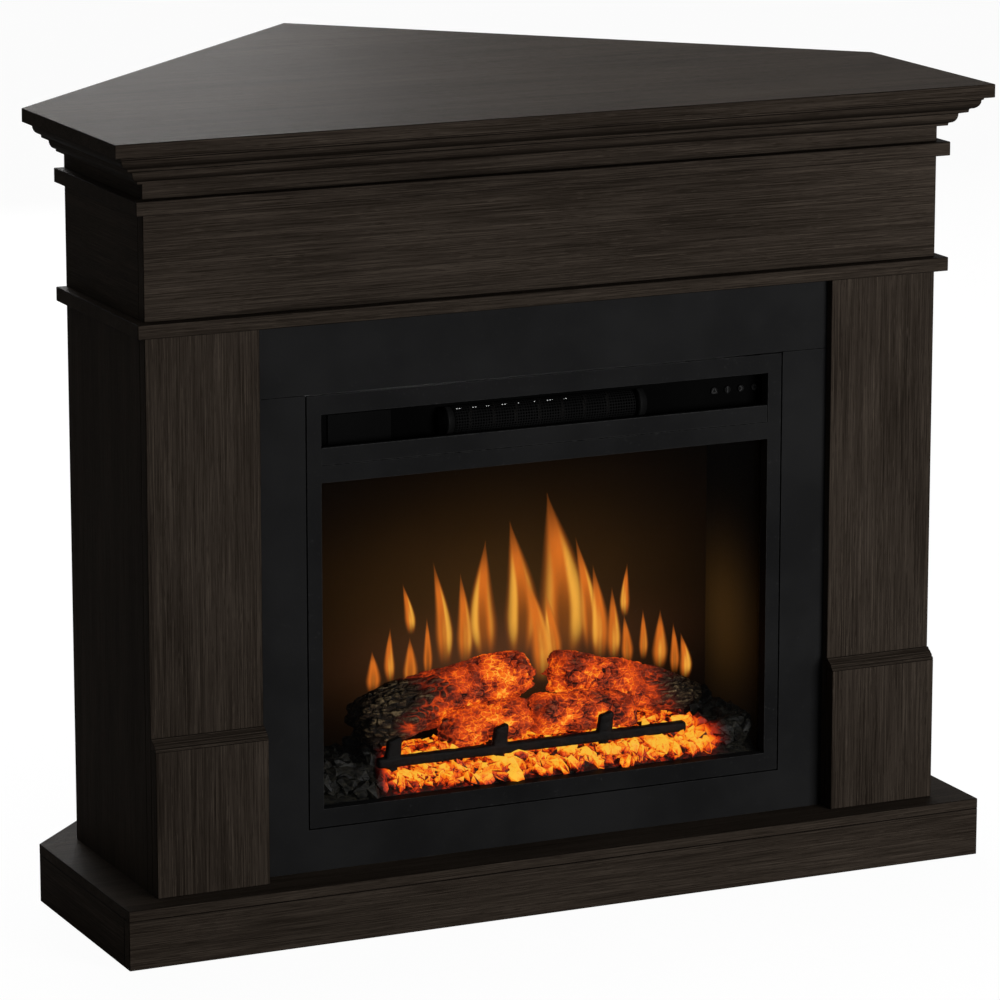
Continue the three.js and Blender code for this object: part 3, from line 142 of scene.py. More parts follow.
world = bpy.data.worlds.new("studio")
scene.world = world
world.use_nodes = True
world.node_tree.nodes.clear()
sky = Wire(world.node_tree)
ray = "ShaderNodeLightPath"
seen = sky.node(ray, output="Is Camera Ray") + sky.node(ray, output="Is Glossy Ray")
seen = (seen + sky.node(ray, output="Is Transmission Ray")).maths("MINIMUM", seen, 1.0)
plain = sky.node("ShaderNodeBackground", None, {"Color": (SKY, SKY, SKY, 1), "Strength": 1.0})
white = sky.node("ShaderNodeBackground", None, {"Color": (1, 1, 1, 1), "Strength": 1.0})
lit = sky.node("ShaderNodeMixShader", None, {0: seen, 1: plain, 2: white})
lit.node("ShaderNodeOutputWorld", None, {"Surface": lit})


def material(name):
    """A new material with a Principled shader: the material, its first wire and the shader."""
    made = bpy.data.materials.new(name)
    made.use_nodes = True
    tree = made.node_tree
    tree.nodes.clear()
    shader = tree.nodes.new("ShaderNodeBsdfPrincipled")
    output = tree.nodes.new("ShaderNodeOutputMaterial")
    tree.links.new(shader.outputs[0], output.inputs["Surface"])
    return made, Wire(tree), shader


def connect(shader, **sockets):
    """Sets or links sockets of a shader; an underscore stands for a space."""
    for name, value in sockets.items():
        socket = shader.inputs[name.replace("_", " ")]
        if isinstance(value, Wire):
            shader.id_data.links.new(value.socket, socket)
        else:
            socket.default_value = value


def lamp(name, place, target, size, watts):
    light = bpy.data.lights.new(name, "AREA")
    light.shape = "RECTANGLE"
    light.size, light.size_y = size
    light.energy = watts
    holder = bpy.data.objects.new(name, light)
    scene.collection.objects.link(holder)
    holder.location = place
    holder.rotation_euler = (Vector(target) - Vector(place)).to_track_quat("-Z", "Y").to_euler()


lamp("front_softbox", (1.6, -3.6, 0.62), (0, -0.3, 0.45), (1.6, 1.2), 136)
lamp("top_softbox", (0.1, 0.25, 2.7), (0, 0, 0.94), (1.5, 1.2), 31)
lamp("rear_softbox", (0.5, 4.2, 1.6), (0, 0.2, 0.5), (2.2, 1.6), 110)

camera = bpy.data.objects.new("camera", bpy.data.cameras.new("camera"))
scene.collection.objects.link(camera)
camera.data.lens = LENS
camera.data.sensor_width = 36
camera.data.clip_end = 100
camera.location = CAMERA_PLACE
camera.rotation_euler = (math.pi / 2 - CAMERA_TILT, 0, -CAMERA_YAW)
scene.camera = camera

floor_finish, wire, shader = material("pale_floor")
place = wire.node("ShaderNodeTexCoord", output="Object")
specks = wire.node("ShaderNodeTexNoise", None, {"Vector": place, "Scale": 40.0, "Detail": 3.0})
connect(shader, Base_Color=specks.rise(0.3, 0.7).blend(FLOOR_COLOUR, (0.48, 0.48, 0.48, 1)),
        Roughness=0.9, Specular_IOR_Level=0.0)
glow = wire.node("ShaderNodeEmission", None, {"Color": (1, 1, 1, 1), "Strength": FLOOR_WHITE})
seen = wire.node(ray, output="Is Camera Ray") * FLOOR_GLOW
both = wire.node("ShaderNodeMixShader", None, {0: seen, 1: Wire(wire.tree, shader.outputs[0]), 2: glow})
wire.tree.links.new(both.socket, wire.tree.nodes["Material Output"].inputs["Surface"])
floor_mesh = bpy.data.meshes.new("floor")
half = FLOOR_SIDE / 2
floor_mesh.from_pydata([(-half, -half, 0), (half, -half, 0), (half, half, 0), (-half, half, 0)], [],
                       [(0, 1, 2, 3)])
floor = bpy.data.objects.new("floor", floor_mesh)
floor_mesh.materials.append(floor_finish)
scene.collection.objects.link(floor)

# ---- Mantel boards ----
# Chipboard boards wrapped in a dark oak foil with a fine straight grain. Their edges are eased and carry
# painted shade, so that each joint shows as a thin dark line, and the faces that look down carry painted
# shade too. They are screwed together from behind.
OAK_DARK = (0.0085, 0.0062, 0.0045, 1)
OAK_MIDDLE = (0.0255, 0.0196, 0.0150, 1)
OAK_LIGHT = (0.0560, 0.0440, 0.0340, 1)
# The shade colour painted on the eased edges and on the faces that look down.
OAK_PAINTED_SHADE = (0.0035, 0.0026, 0.0020, 1)
BOARD_EASE = 0.0008
MOULDING_EASE = 0.0003
GRAIN_STRETCH = 90.0


def oak_foil(along):
    """The foil with its grain along one axis of the frame: 0 is X, 1 is Y and 2 is Z."""
    made, wire, shader = material("oak_foil_" + "xyz"[along])
    place = wire.node("ShaderNodeTexCoord", output="Object")

    def streaks(width, detail=3.0, stretch=GRAIN_STRETCH):
        scale = [1 / width] * 3
        scale[along] = 1 / (width * stretch)
        fitted = wire.node("ShaderNodeMapping", None, {"Vector": place, "Scale": scale})
        sockets = {"Vector": fitted, "Scale": 1.0, "Detail": detail, "Roughness": 0.6}
        return wire.node("ShaderNodeTexNoise", None, sockets)

    fine = streaks(0.0011, 4.0)
    bands = streaks(0.011, 2.0, 30.0)
    pores = streaks(0.0007, 1.0, 30.0)
    clouds = streaks(0.09, 2.0, 4.0)
    flecks = streaks(0.0016, 1.0, 14.0)
    tone = fine * 0.62 + bands * 0.18 + clouds * 0.20
    colour = tone.rise(0.34, 0.56).blend(OAK_DARK, OAK_MIDDLE)
    colour = (tone.rise(0.50, 0.70) * 0.75).blend(colour, OAK_LIGHT)
    colour = (pores.rise(0.58, 0.68) * 0.60).blend(colour, OAK_DARK)
    colour = (flecks.rise(0.66, 0.76) * 0.35).blend(colour, OAK_LIGHT)
    facing = wire.node("ShaderNodeNewGeometry", output="Normal")
    under = -wire.node("ShaderNodeSeparateXYZ", None, {"Vector": facing}, "Z")
    # Painted shade: faces that look down are darkened towards the shade colour.
    colour = (under.rise(0.10, 0.75) * 0.75).blend(colour, OAK_PAINTED_SHADE)
    edge = wire.node("ShaderNodeAttribute", {"attribute_name": "edge"}, output="Fac")
    # Painted shade: the eased edges are darkened, so that the joints show as thin dark lines.
    colour = (edge * clouds.rise(0.1, 0.5) * 0.85).blend(colour, OAK_PAINTED_SHADE)
    height = fine.rise(0.3, 0.7) - pores.rise(0.58, 0.72) * 0.7
    bump = wire.node("ShaderNodeBump", None, {"Strength": 0.35, "Distance": 0.00025, "Height": height})
    connect(shader, Base_Color=colour, Roughness=fine.span(0.42, 0.66) + pores.rise(0.6, 0.7) * 0.1,
            Normal=bump, Specular_IOR_Level=0.005)
    return made


def copy_of(*nodes):
    """The merged mesh of some CAD nodes, with its flat faces made whole, ready to be worked on."""
    mesh = bmesh.new()
    for node in nodes:
        mesh.from_mesh(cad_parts[node].data)
    bmesh.ops.remove_doubles(mesh, verts=mesh.verts, dist=1e-5)
    bmesh.ops.dissolve_limit(mesh, angle_limit=math.radians(1), verts=mesh.verts, edges=mesh.edges)
    return mesh


def eased(mesh, width, steepest=20, segments=2):
    """Rounds the corners of a bmesh over by a width and marks the new faces, for painted shade on the oak and
    paler wear on the satin coats.
    """
    old = mesh.faces.layers.float.new("edge")
    sharp = [e for e in mesh.edges if e.is_manifold and e.calc_face_angle(0) > math.radians(steepest)]
    made = bmesh.ops.bevel(mesh, geom=sharp, offset=width, offset_type="OFFSET", segments=segments,
                           profile=0.5, affect="EDGES", clamp_overlap=True)
    old = mesh.faces.layers.float["edge"]
    for face in made["faces"]:
        face[old] = 1.0
    return mesh


def piece(name, mesh, finish, replaced, body="root", smooth=True):
    """Puts a finished mesh in the scene on its body, in place of the CAD nodes that it stands for."""
    if isinstance(mesh, bmesh.types.BMesh):
        bmesh.ops.recalc_face_normals(mesh, faces=mesh.faces)
        data = bpy.data.meshes.new(name)
        mesh.to_mesh(data)
        mesh.free()
    else:
        data = mesh
    data.materials.clear()
    data.materials.append(finish)
    for polygon in data.polygons:
        polygon.use_smooth = smooth
    made = bpy.data.objects.new(name, data)
    scene.collection.objects.link(made)
    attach(made, body)
    if replaced:
        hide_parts(*replaced)
    return made


def flattened(made):
    """Keeps the large faces flat beside their rounded corners."""
    weight = made.modifiers.new("flat_faces", "WEIGHTED_NORMAL")
    weight.mode = "FACE_AREA"
    weight.weight = 100
    return made


OAK = [oak_foil(axis) for axis in (0, 1, 2)]
GRAIN_ALONG = {
    0: ["top_board", "cornice_front", "upper_ledge", "lower_ledge", "frieze_front", "base_board",
        "base_front", "base_rail", "fire_shelf"],
    1: ["cornice_left", "cornice_right", "frieze_left", "frieze_right", "base_side_left",
        "base_side_right", "base_wall_side_left", "base_wall_side_right"],
    2: ["pilaster_left", "pilaster_right", "plinth_block_left", "plinth_block_right",
        "side_panel_left", "side_panel_right", "inner_upright_left", "inner_upright_right",
        "rear_post"],
}
for axis, nodes in GRAIN_ALONG.items():
    for node in nodes:
        ease = MOULDING_EASE if node.startswith(("cornice", "base_wall")) else BOARD_EASE
        flattened(piece("oak_" + node, eased(copy_of(node), ease), OAK[axis], [node]))

# ---- Plinth mouldings ----
# Thin stepped strips of the same oak foil, glued on top of the plinth blocks.
for side in ("left", "right"):
    node = "plinth_moulding_" + side
    strip = piece("oak_" + node, eased(copy_of(node), 0.00025), OAK[0], [node])
    flattened(strip)

# ---- Black surround ----
# Two black lacquered boards behind the pilasters: a header panel and a U-shaped frame, with a hairline
# seam between them. The lacquer is satin with a faint orange peel.
PANEL_BLACK = (0.0060, 0.0060, 0.0062, 1)
PANEL_GREY = (0.0098, 0.0098, 0.0100, 1)
PANEL_WORN = (0.0200, 0.0200, 0.0200, 1)


def satin(name, dark, pale, worn, grain, roughness, shine):
    """A sprayed satin coat: soft clouds in its colour, a fine peel and paler rubbed corners."""
    made, wire, shader = material(name)
    place = wire.node("ShaderNodeTexCoord", output="Object")

    def spread(size, detail):
        return wire.node("ShaderNodeTexNoise", None,
                         {"Vector": place, "Scale": 1 / size, "Detail": detail, "Roughness": 0.55})

    clouds = spread(0.12, 3.0)
    peel = spread(grain, 2.0)
    dust = spread(0.004, 4.0)
    colour = clouds.rise(0.3, 0.7).blend(dark, pale)
    colour = (dust.rise(0.62, 0.74) * 0.30).blend(colour, worn)
    edge = wire.node("ShaderNodeAttribute", {"attribute_name": "edge"}, output="Fac")
    colour = (edge * dust.rise(0.25, 0.65) * 0.8).blend(colour, worn)
    bump = wire.node("ShaderNodeBump", None, {"Strength": 0.25, "Distance": 0.0002, "Height": peel})
    connect(shader, Base_Color=colour, Roughness=clouds.span(roughness - 0.06, roughness + 0.06) +
            peel.span(-0.03, 0.03), Normal=bump, Specular_IOR_Level=shine)
    return made


lacquer = satin("black_lacquer", PANEL_BLACK, PANEL_GREY, PANEL_WORN, 0.0012, 0.55, 0.012)
for node in ("header_panel", "surround_frame"):
    flattened(piece("black_" + node, eased(copy_of(node), 0.0005), lacquer, [node]))

# ---- Front of the fire ----
# A frame of pressed steel sheet round the window and the slot, powder coated black. A bent trim bar
# lies in the foot of the slot, and a dark fascia with a blank cover plate closes it behind.
STEEL_BLACK = (0.0042, 0.0042, 0.0044, 1)
STEEL_GREY = (0.0078, 0.0078, 0.0080, 1)
STEEL_WORN = (0.0300, 0.0300, 0.0300, 1)

powder_coat = satin("powder_coat", STEEL_BLACK, STEEL_GREY, STEEL_WORN, 0.0006, 0.50, 0.012)
# The fascia's colour is set far below the frame's black as painted shade, for the shade inside the slot's recess.
dark_coat = satin("dark_coat", (0.0012, 0.0012, 0.0012, 1), (0.0020, 0.0020, 0.0020, 1),
                  (0.0040, 0.0040, 0.0040, 1), 0.0008, 0.6, 0.0)
plate_coat = satin("cover_plate_plastic", (0.0024, 0.0024, 0.0024, 1), (0.0032, 0.0032, 0.0032, 1),
                   (0.0080, 0.0080, 0.0080, 1), 0.0005, 0.5, 0.002)
for node, finish, slot, ease in (("front_frame", powder_coat, "black_steel", 0.0004),
                                 ("slot_trim_bar", powder_coat, "black_steel", 0.0009),
                                 ("fascia", dark_coat, "dark_steel", 0.0004),
                                 ("cover_plate", plate_coat, "black_plastic", 0.0004)):
    flattened(piece("fire_" + node, eased(copy_of(node), ease), finish, [node]))

# ---- Outlet grille ----
# A half tube of thin perforated steel between two plain end caps, clipped against the fascia. Warm air
# leaves through its round holes, which stand in straight rows.
GRILLE_LOW, GRILLE_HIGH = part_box("outlet_grille")
GRILLE_CAP = 0.015
GRILLE_WALL = 0.0006
HOLE_PITCH = 0.0034
HOLE_SHARE = 0.36  # hole radius as a share of the pitch


def tree_input(tree, name, kind, value):
    socket = tree.interface.new_socket(name, in_out="INPUT", socket_type=kind)
    socket.default_value = value
    return socket.identifier


def perforated_cell(share):
    """One square of sheet, a unit wide, with a round hole in its middle."""
    mesh = bmesh.new()
    sides = 8
    rim = [mesh.verts.new((math.cos(a) * share, math.sin(a) * share, 0))
           for a in (math.tau * i / sides for i in range(sides))]
    outline = [(0.5, 0), (0.5, 0.5), (0, 0.5), (-0.5, 0.5), (-0.5, 0), (-0.5, -0.5), (0, -0.5), (0.5, -0.5)]
    outer = [mesh.verts.new((x, y, 0)) for x, y in outline]
    for i in range(sides):
        j = (i + 1) % sides
        mesh.faces.new((rim[i], outer[i], outer[j], rim[j]))
    data = bpy.data.meshes.new("perforated_cell")
    mesh.to_mesh(data)
    mesh.free()
    return bpy.data.objects.new("perforated_cell", data)


def perforated_sheet(length, girth, pitch, share, finish):
    """A flat perforated sheet along X and Y, made by Geometry Nodes from one cell."""
    tree = bpy.data.node_groups.new("perforated_sheet", "GeometryNodeTree")
    tree.interface.new_socket("Geometry", in_out="OUTPUT", socket_type="NodeSocketGeometry")
    names = {
        "Length": tree_input(tree, "Length", "NodeSocketFloat", 0.1),
        "Girth": tree_input(tree, "Girth", "NodeSocketFloat", 0.1),
        "Columns": tree_input(tree, "Columns", "NodeSocketInt", 10),
        "Rows": tree_input(tree, "Rows", "NodeSocketInt", 10),
        "Cell": tree_input(tree, "Cell", "NodeSocketVector", (1, 1, 1)),
    }
    nodes, links = tree.nodes, tree.links
    given = nodes.new("NodeGroupInput")
    grid = nodes.new("GeometryNodeMeshGrid")
    cell = nodes.new("GeometryNodeObjectInfo")
    cell.inputs["Object"].default_value = perforated_cell(share)
    copies = nodes.new("GeometryNodeInstanceOnPoints")
    real = nodes.new("GeometryNodeRealizeInstances")
    welded = nodes.new("GeometryNodeMergeByDistance")
    painted = nodes.new("GeometryNodeSetMaterial")
    made = nodes.new("NodeGroupOutput")
    welded.inputs["Distance"].default_value = pitch * 0.02
    painted.inputs["Material"].default_value = finish
    links.new(given.outputs["Length"], grid.inputs["Size X"])
    links.new(given.outputs["Girth"], grid.inputs["Size Y"])
    links.new(given.outputs["Columns"], grid.inputs["Vertices X"])
    links.new(given.outputs["Rows"], grid.inputs["Vertices Y"])
    links.new(grid.outputs["Mesh"], copies.inputs["Points"])
    links.new(cell.outputs["Geometry"], copies.inputs["Instance"])
    links.new(given.outputs["Cell"], copies.inputs["Scale"])
    links.new(copies.outputs["Instances"], real.inputs["Geometry"])
    links.new(real.outputs["Geometry"], welded.inputs["Geometry"])
    links.new(welded.outputs["Geometry"], painted.inputs["Geometry"])
    links.new(painted.outputs["Geometry"], made.inputs[0])
    columns, rows = round(length / pitch), round(girth / pitch)
    step = (length / columns, girth / rows)
    holder = bpy.data.objects.new("perforated_sheet", bpy.data.meshes.new("perforated_sheet"))
    scene.collection.objects.link(holder)
    modifier = holder.modifiers.new("perforate", "NODES")
    modifier.node_group = tree
    modifier[names["Length"]] = length - step[0]
    modifier[names["Girth"]] = girth - step[1]
    modifier[names["Columns"]] = columns
    modifier[names["Rows"]] = rows
    modifier[names["Cell"]] = (step[0], step[1], 1.0)
    return plain_mesh(holder)


def plain_mesh(holder):
    """The evaluated mesh of an object with modifiers; the object itself is thrown away."""
    seen = holder.evaluated_get(bpy.context.evaluated_depsgraph_get())
    data = bpy.data.meshes.new_from_object(seen)
    bpy.data.objects.remove(holder)
    return data


def brushed(name, dark, pale, roughness, metallic=1.0):
    """Plain or plated sheet steel: a faint spangle, fine rolling lines and a few duller patches."""
    made, wire, shader = material(name)
    place = wire.node("ShaderNodeTexCoord", output="Object")
    spangle = wire.node("ShaderNodeTexVoronoi", None, {"Vector": place, "Scale": 90.0}, "Color")
    cell = spangle.node("ShaderNodeSeparateColor", None, {"Color": spangle}, "Red")
    rolled = wire.node("ShaderNodeMapping", None, {"Vector": place, "Scale": (30.0, 900.0, 900.0)})
    lines = wire.node("ShaderNodeTexNoise", None, {"Vector": rolled, "Scale": 1.0, "Detail": 3.0})
    dull = wire.node("ShaderNodeTexNoise", None, {"Vector": place, "Scale": 14.0, "Detail": 4.0})
    tone = cell * 0.45 + lines * 0.35 + dull * 0.35
    bump = wire.node("ShaderNodeBump", None, {"Strength": 0.12, "Distance": 0.0002, "Height": lines})
    connect(shader, Base_Color=tone.rise(0.25, 0.85).blend(dark, pale), Metallic=metallic,
            Roughness=dull.span(roughness - 0.1, roughness + 0.14) + cell * 0.05, Normal=bump)
    return made


grille_steel = satin("grille_steel", (0.0030, 0.0030, 0.0030, 1), (0.0050, 0.0050, 0.0050, 1),
                     (0.0070, 0.0070, 0.0070, 1), 0.0005, 0.5, 0.004)
grille_radius = (GRILLE_HIGH.z - GRILLE_LOW.z) / 2
grille_middle = (GRILLE_HIGH.z + GRILLE_LOW.z) / 2
inner_length = GRILLE_HIGH.x - GRILLE_LOW.x - 2 * GRILLE_CAP


def half_tube_place(x, around, radius):
    """A point on the half tube: around runs from 0 at its top edge to 1 at its bottom edge."""
    angle = around * math.pi
    return Vector((x, GRILLE_HIGH.y - radius * math.sin(angle), grille_middle + radius * math.cos(angle)))


girth = math.pi * grille_radius
sheet = perforated_sheet(inner_length, girth, HOLE_PITCH, HOLE_SHARE, grille_steel)
sheet_mesh = bmesh.new()
sheet_mesh.from_mesh(sheet)
for vertex in sheet_mesh.verts:
    around = min(max(vertex.co.y / girth + 0.5, 0.0), 1.0)
    vertex.co = half_tube_place(vertex.co.x, around, grille_radius)
grille = piece("perforated_grille", sheet_mesh, grille_steel, ["outlet_grille"])
wall = grille.modifiers.new("wall", "SOLIDIFY")
wall.thickness = GRILLE_WALL
wall.offset = -1

caps = bmesh.new()
for start, end in ((GRILLE_LOW.x, GRILLE_LOW.x + GRILLE_CAP), (GRILLE_HIGH.x - GRILLE_CAP, GRILLE_HIGH.x)):
    rings = [[caps.verts.new(half_tube_place(x, i / 24, grille_radius)) for i in range(25)]
             for x in (start, end)]
    for i in range(24):
        caps.faces.new((rings[0][i], rings[0][i + 1], rings[1][i + 1], rings[1][i]))
    caps.faces.new(rings[0])
    caps.faces.new(rings[1])
    caps.faces.new((rings[0][0], rings[0][24], rings[1][24], rings[1][0]))
cap_coat = satin("grille_cap_coat", (0.004, 0.004, 0.004, 1), (0.006, 0.006, 0.006, 1),
                 (0.01, 0.01, 0.01, 1), 0.0006, 0.45, 0.02)
flattened(piece("grille_caps", eased(caps, 0.0005), cap_coat, []))

# ---- Buttons ----
# Four round push buttons of black plastic. Each carries one dull grey printed sign: a peak, a bar, an
# arrow head and a ring. They slide in holes of the fascia and press the switches of the circuit board.
BUTTON_SIGNS = {
    "button_power": ("power_key", [(-3.4, -2.6), (-0.6, 2.8), (0.6, 2.8), (3.4, -2.6), (-3.4, -2.6)]),
    "button_heat": ("heat_key", [(0, -3.4), (0, 3.4)]),
    "button_flame": ("flame_key", [(-1.8, -3.0), (2.0, 0), (-1.8, 3.0)]),
    "button_timer": ("timer_key", [(2.6 * math.cos(a), 2.6 * math.sin(a))
                                   for a in (math.tau * i / 16 for i in range(17))]),
}
SIGN_WIDTH = 0.0012
SIGN_PROUD = 0.00008
button_plastic = satin("button_plastic", (0.0030, 0.0030, 0.0030, 1), (0.0045, 0.0045, 0.0045, 1),
                       (0.0100, 0.0100, 0.0100, 1), 0.0004, 0.5, 0.004)
sign_ink, wire, shader = material("sign_ink")
place = wire.node("ShaderNodeTexCoord", output="Object")
specks = wire.node("ShaderNodeTexNoise", None, {"Vector": place, "Scale": 1200.0, "Detail": 2.0})
connect(shader, Base_Color=specks.rise(0.3, 0.7).blend((0.018, 0.018, 0.018, 1), (0.032, 0.032, 0.032, 1)),
        Roughness=specks.span(0.5, 0.7), Specular_IOR_Level=0.03)
for node, (body, line) in BUTTON_SIGNS.items():
    low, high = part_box(node)
    centre = (low + high) / 2
    turned = eased(copy_of(node), 0.00025, 40)
    flattened(piece("fire_" + node, turned, button_plastic, [node], body))
    sign = bmesh.new()
    points = [Vector((centre.x + u / 1000, low.y - SIGN_PROUD, centre.z + v / 1000)) for u, v in line]
    for first, second in zip(points, points[1:]):
        aside = (second - first).cross(Vector((0, 1, 0))).normalized() * SIGN_WIDTH / 2
        beyond = (second - first).normalized() * SIGN_WIDTH * 0.3
        corners = [first - beyond + aside, second + beyond + aside, second + beyond - aside,
                   first - beyond - aside]
        front = [sign.verts.new(c) for c in corners]
        back = [sign.verts.new(c + Vector((0, SIGN_PROUD * 1.5, 0))) for c in corners]
        sign.faces.new(front)
        sign.faces.new(back)
        for i in range(4):
            sign.faces.new((front[i], front[(i + 1) % 4], back[(i + 1) % 4], back[i]))
    piece("sign_" + node, sign, sign_ink, [], body, smooth=False)

# ---- Circuit boards ----
# Glass fibre boards with a green mask: the control board behind the buttons and the strip of lamps
# on the case floor.
circuit, wire, shader = material("green_mask")
place = wire.node("ShaderNodeTexCoord", output="Object")
tracks = wire.node("ShaderNodeTexVoronoi", {"feature": "DISTANCE_TO_EDGE"},
                   {"Vector": place, "Scale": 260.0}, "Distance")
weave = wire.node("ShaderNodeTexNoise", None, {"Vector": place, "Scale": 700.0, "Detail": 2.0})
mask = tracks.rise(0.04, 0.12)
colour = mask.blend((0.030, 0.110, 0.045, 1), (0.010, 0.050, 0.022, 1))
connect(shader, Base_Color=(weave.rise(0.4, 0.7) * 0.3).blend(colour, (0.02, 0.08, 0.03, 1)),
        Roughness=weave.span(0.35, 0.6))
bump = wire.node("ShaderNodeBump", None, {"Strength": 0.3, "Distance": 0.0001, "Height": mask})
connect(shader, Normal=bump)


def dressed(node, finish):
    """Gives a CAD node that keeps its own mesh a finish."""
    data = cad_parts[node].data
    for index in range(len(data.materials)):
        data.materials[index] = finish


for node in ("control_board", "light_board"):
    dressed(node, circuit)

# ---- Case ----
# A box of zinc plated sheet open at the front, with a rear cover that has two rows of vents, and a
# black cable gland in its lower corner.
zinc = brushed("zinc_plate", (0.22, 0.225, 0.23, 1), (0.44, 0.45, 0.46, 1), 0.42)
for node in ("case", "rear_cover"):
    flattened(piece("zinc_" + node, eased(copy_of(node), 0.0003), zinc, [node]))
gland = eased(copy_of("cable_gland"), 0.0004, 40)
flattened(piece("black_cable_gland", gland, button_plastic, ["cable_gland"]))

# ---- Glass ----
# One pane of clear tempered glass behind the window, held by the frame's returns.
glass, wire, shader = material("clear_glass")
place = wire.node("ShaderNodeTexCoord", output="Object")
smears = wire.node("ShaderNodeTexNoise", None, {"Vector": place, "Scale": 6.0, "Detail": 4.0})
connect(shader, Base_Color=(0.01, 0.01, 0.01, 1), Roughness=smears.span(0.02, 0.09),
        Alpha=smears.span(0.02, 0.05), Specular_IOR_Level=0.1)
flattened(piece("fire_glass", eased(copy_of("glass_pane"), 0.0005), glass, ["glass_pane"]))

# ---- Firebox ----
# A liner of dark sheet forms the sides and the ceiling, with a pool of firelight painted on its side walls. The
# flame screen behind the logs is a dark sheet of tinted plastic, with the olive brown light of the flames
# painted on it where it spreads.
LINER_LOW, LINER_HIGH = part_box("firebox_liner")
SCREEN_LOW, SCREEN_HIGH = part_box("flame_screen")
GLOW_MIDDLE = (0.010, 0.325)
GLOW_REACH = (0.198, 0.108)
GLOW_COLOUR = (0.046, 0.0200, 0.0050, 1)
FLAME_GLOW = (0.120, 0.042, 0.018, 1)


def falloff(x, z, middle, reach):
    """A soft round spot: 1 in its middle."""
    across = (x - middle[0]) / reach[0]
    up = (z - middle[1]) / reach[1]
    return -(across * across + up * up)


screen_glow, wire, shader = material("screen_glow")
place = wire.node("ShaderNodeTexCoord", output="Object")
split = "ShaderNodeSeparateXYZ"
x = wire.node(split, None, {"Vector": place}, "X")
z = wire.node(split, None, {"Vector": place}, "Z")
mottle = wire.node("ShaderNodeTexNoise", None, {"Vector": place, "Scale": 9.0, "Detail": 3.0})
# The light of the flames is painted on the screen through its emission colour: a broad spot and a brighter band
# over the flames' feet.
spot = falloff(x, z, GLOW_MIDDLE, GLOW_REACH).maths("EXPONENT", falloff(x, z, GLOW_MIDDLE, GLOW_REACH))
core_glow = falloff(x, z, (0.02, 0.262), (0.16, 0.045))
core_glow = core_glow.maths("EXPONENT", core_glow)
light = (spot * mottle.span(0.75, 1.15)).blend((0.0006, 0.0003, 0.0001, 1), GLOW_COLOUR)
light = (core_glow * 0.55).blend(light, FLAME_GLOW)
connect(shader, Base_Color=(0.0008, 0.0006, 0.0004, 1), Roughness=mottle.span(0.5, 0.8),
        Emission_Color=light, Emission_Strength=1.0, Specular_IOR_Level=0.0)
flattened(piece("glowing_screen", eased(copy_of("flame_screen"), 0.0003), screen_glow,
                ["flame_screen"]))

liner_glow, wire, shader = material("liner_glow")
place = wire.node("ShaderNodeTexCoord", output="Object")
x = wire.node(split, None, {"Vector": place}, "X")
y = wire.node(split, None, {"Vector": place}, "Y")
z = wire.node(split, None, {"Vector": place}, "Z")
brush = wire.node("ShaderNodeMapping", None, {"Vector": place, "Scale": (60.0, 160.0, 4.0)})
lines = wire.node("ShaderNodeTexNoise", None, {"Vector": brush, "Scale": 1.0, "Detail": 3.0})
middle_y = (LINER_LOW.y + LINER_HIGH.y) / 2
# A pool of firelight painted on the side walls through the emission colour.
painted_wall_firelight = falloff(y, z, (middle_y + 0.020, 0.290), (0.065, 0.080))
painted_wall_firelight = painted_wall_firelight.maths("EXPONENT", painted_wall_firelight)
light = (painted_wall_firelight * lines.span(0.8, 1.1)).blend((0.0003, 0.0002, 0.0001, 1), (0.036, 0.0165, 0.0034, 1))
connect(shader, Base_Color=lines.rise(0.3, 0.7).blend((0.0010, 0.0009, 0.0008, 1),
                                                      (0.0022, 0.0020, 0.0018, 1)),
        Roughness=lines.span(0.4, 0.6), Emission_Color=light, Emission_Strength=1.0,
        Specular_IOR_Level=0.02)
flattened(piece("dark_liner", eased(copy_of("firebox_liner"), 0.0003), liner_glow, ["firebox_liner"]))

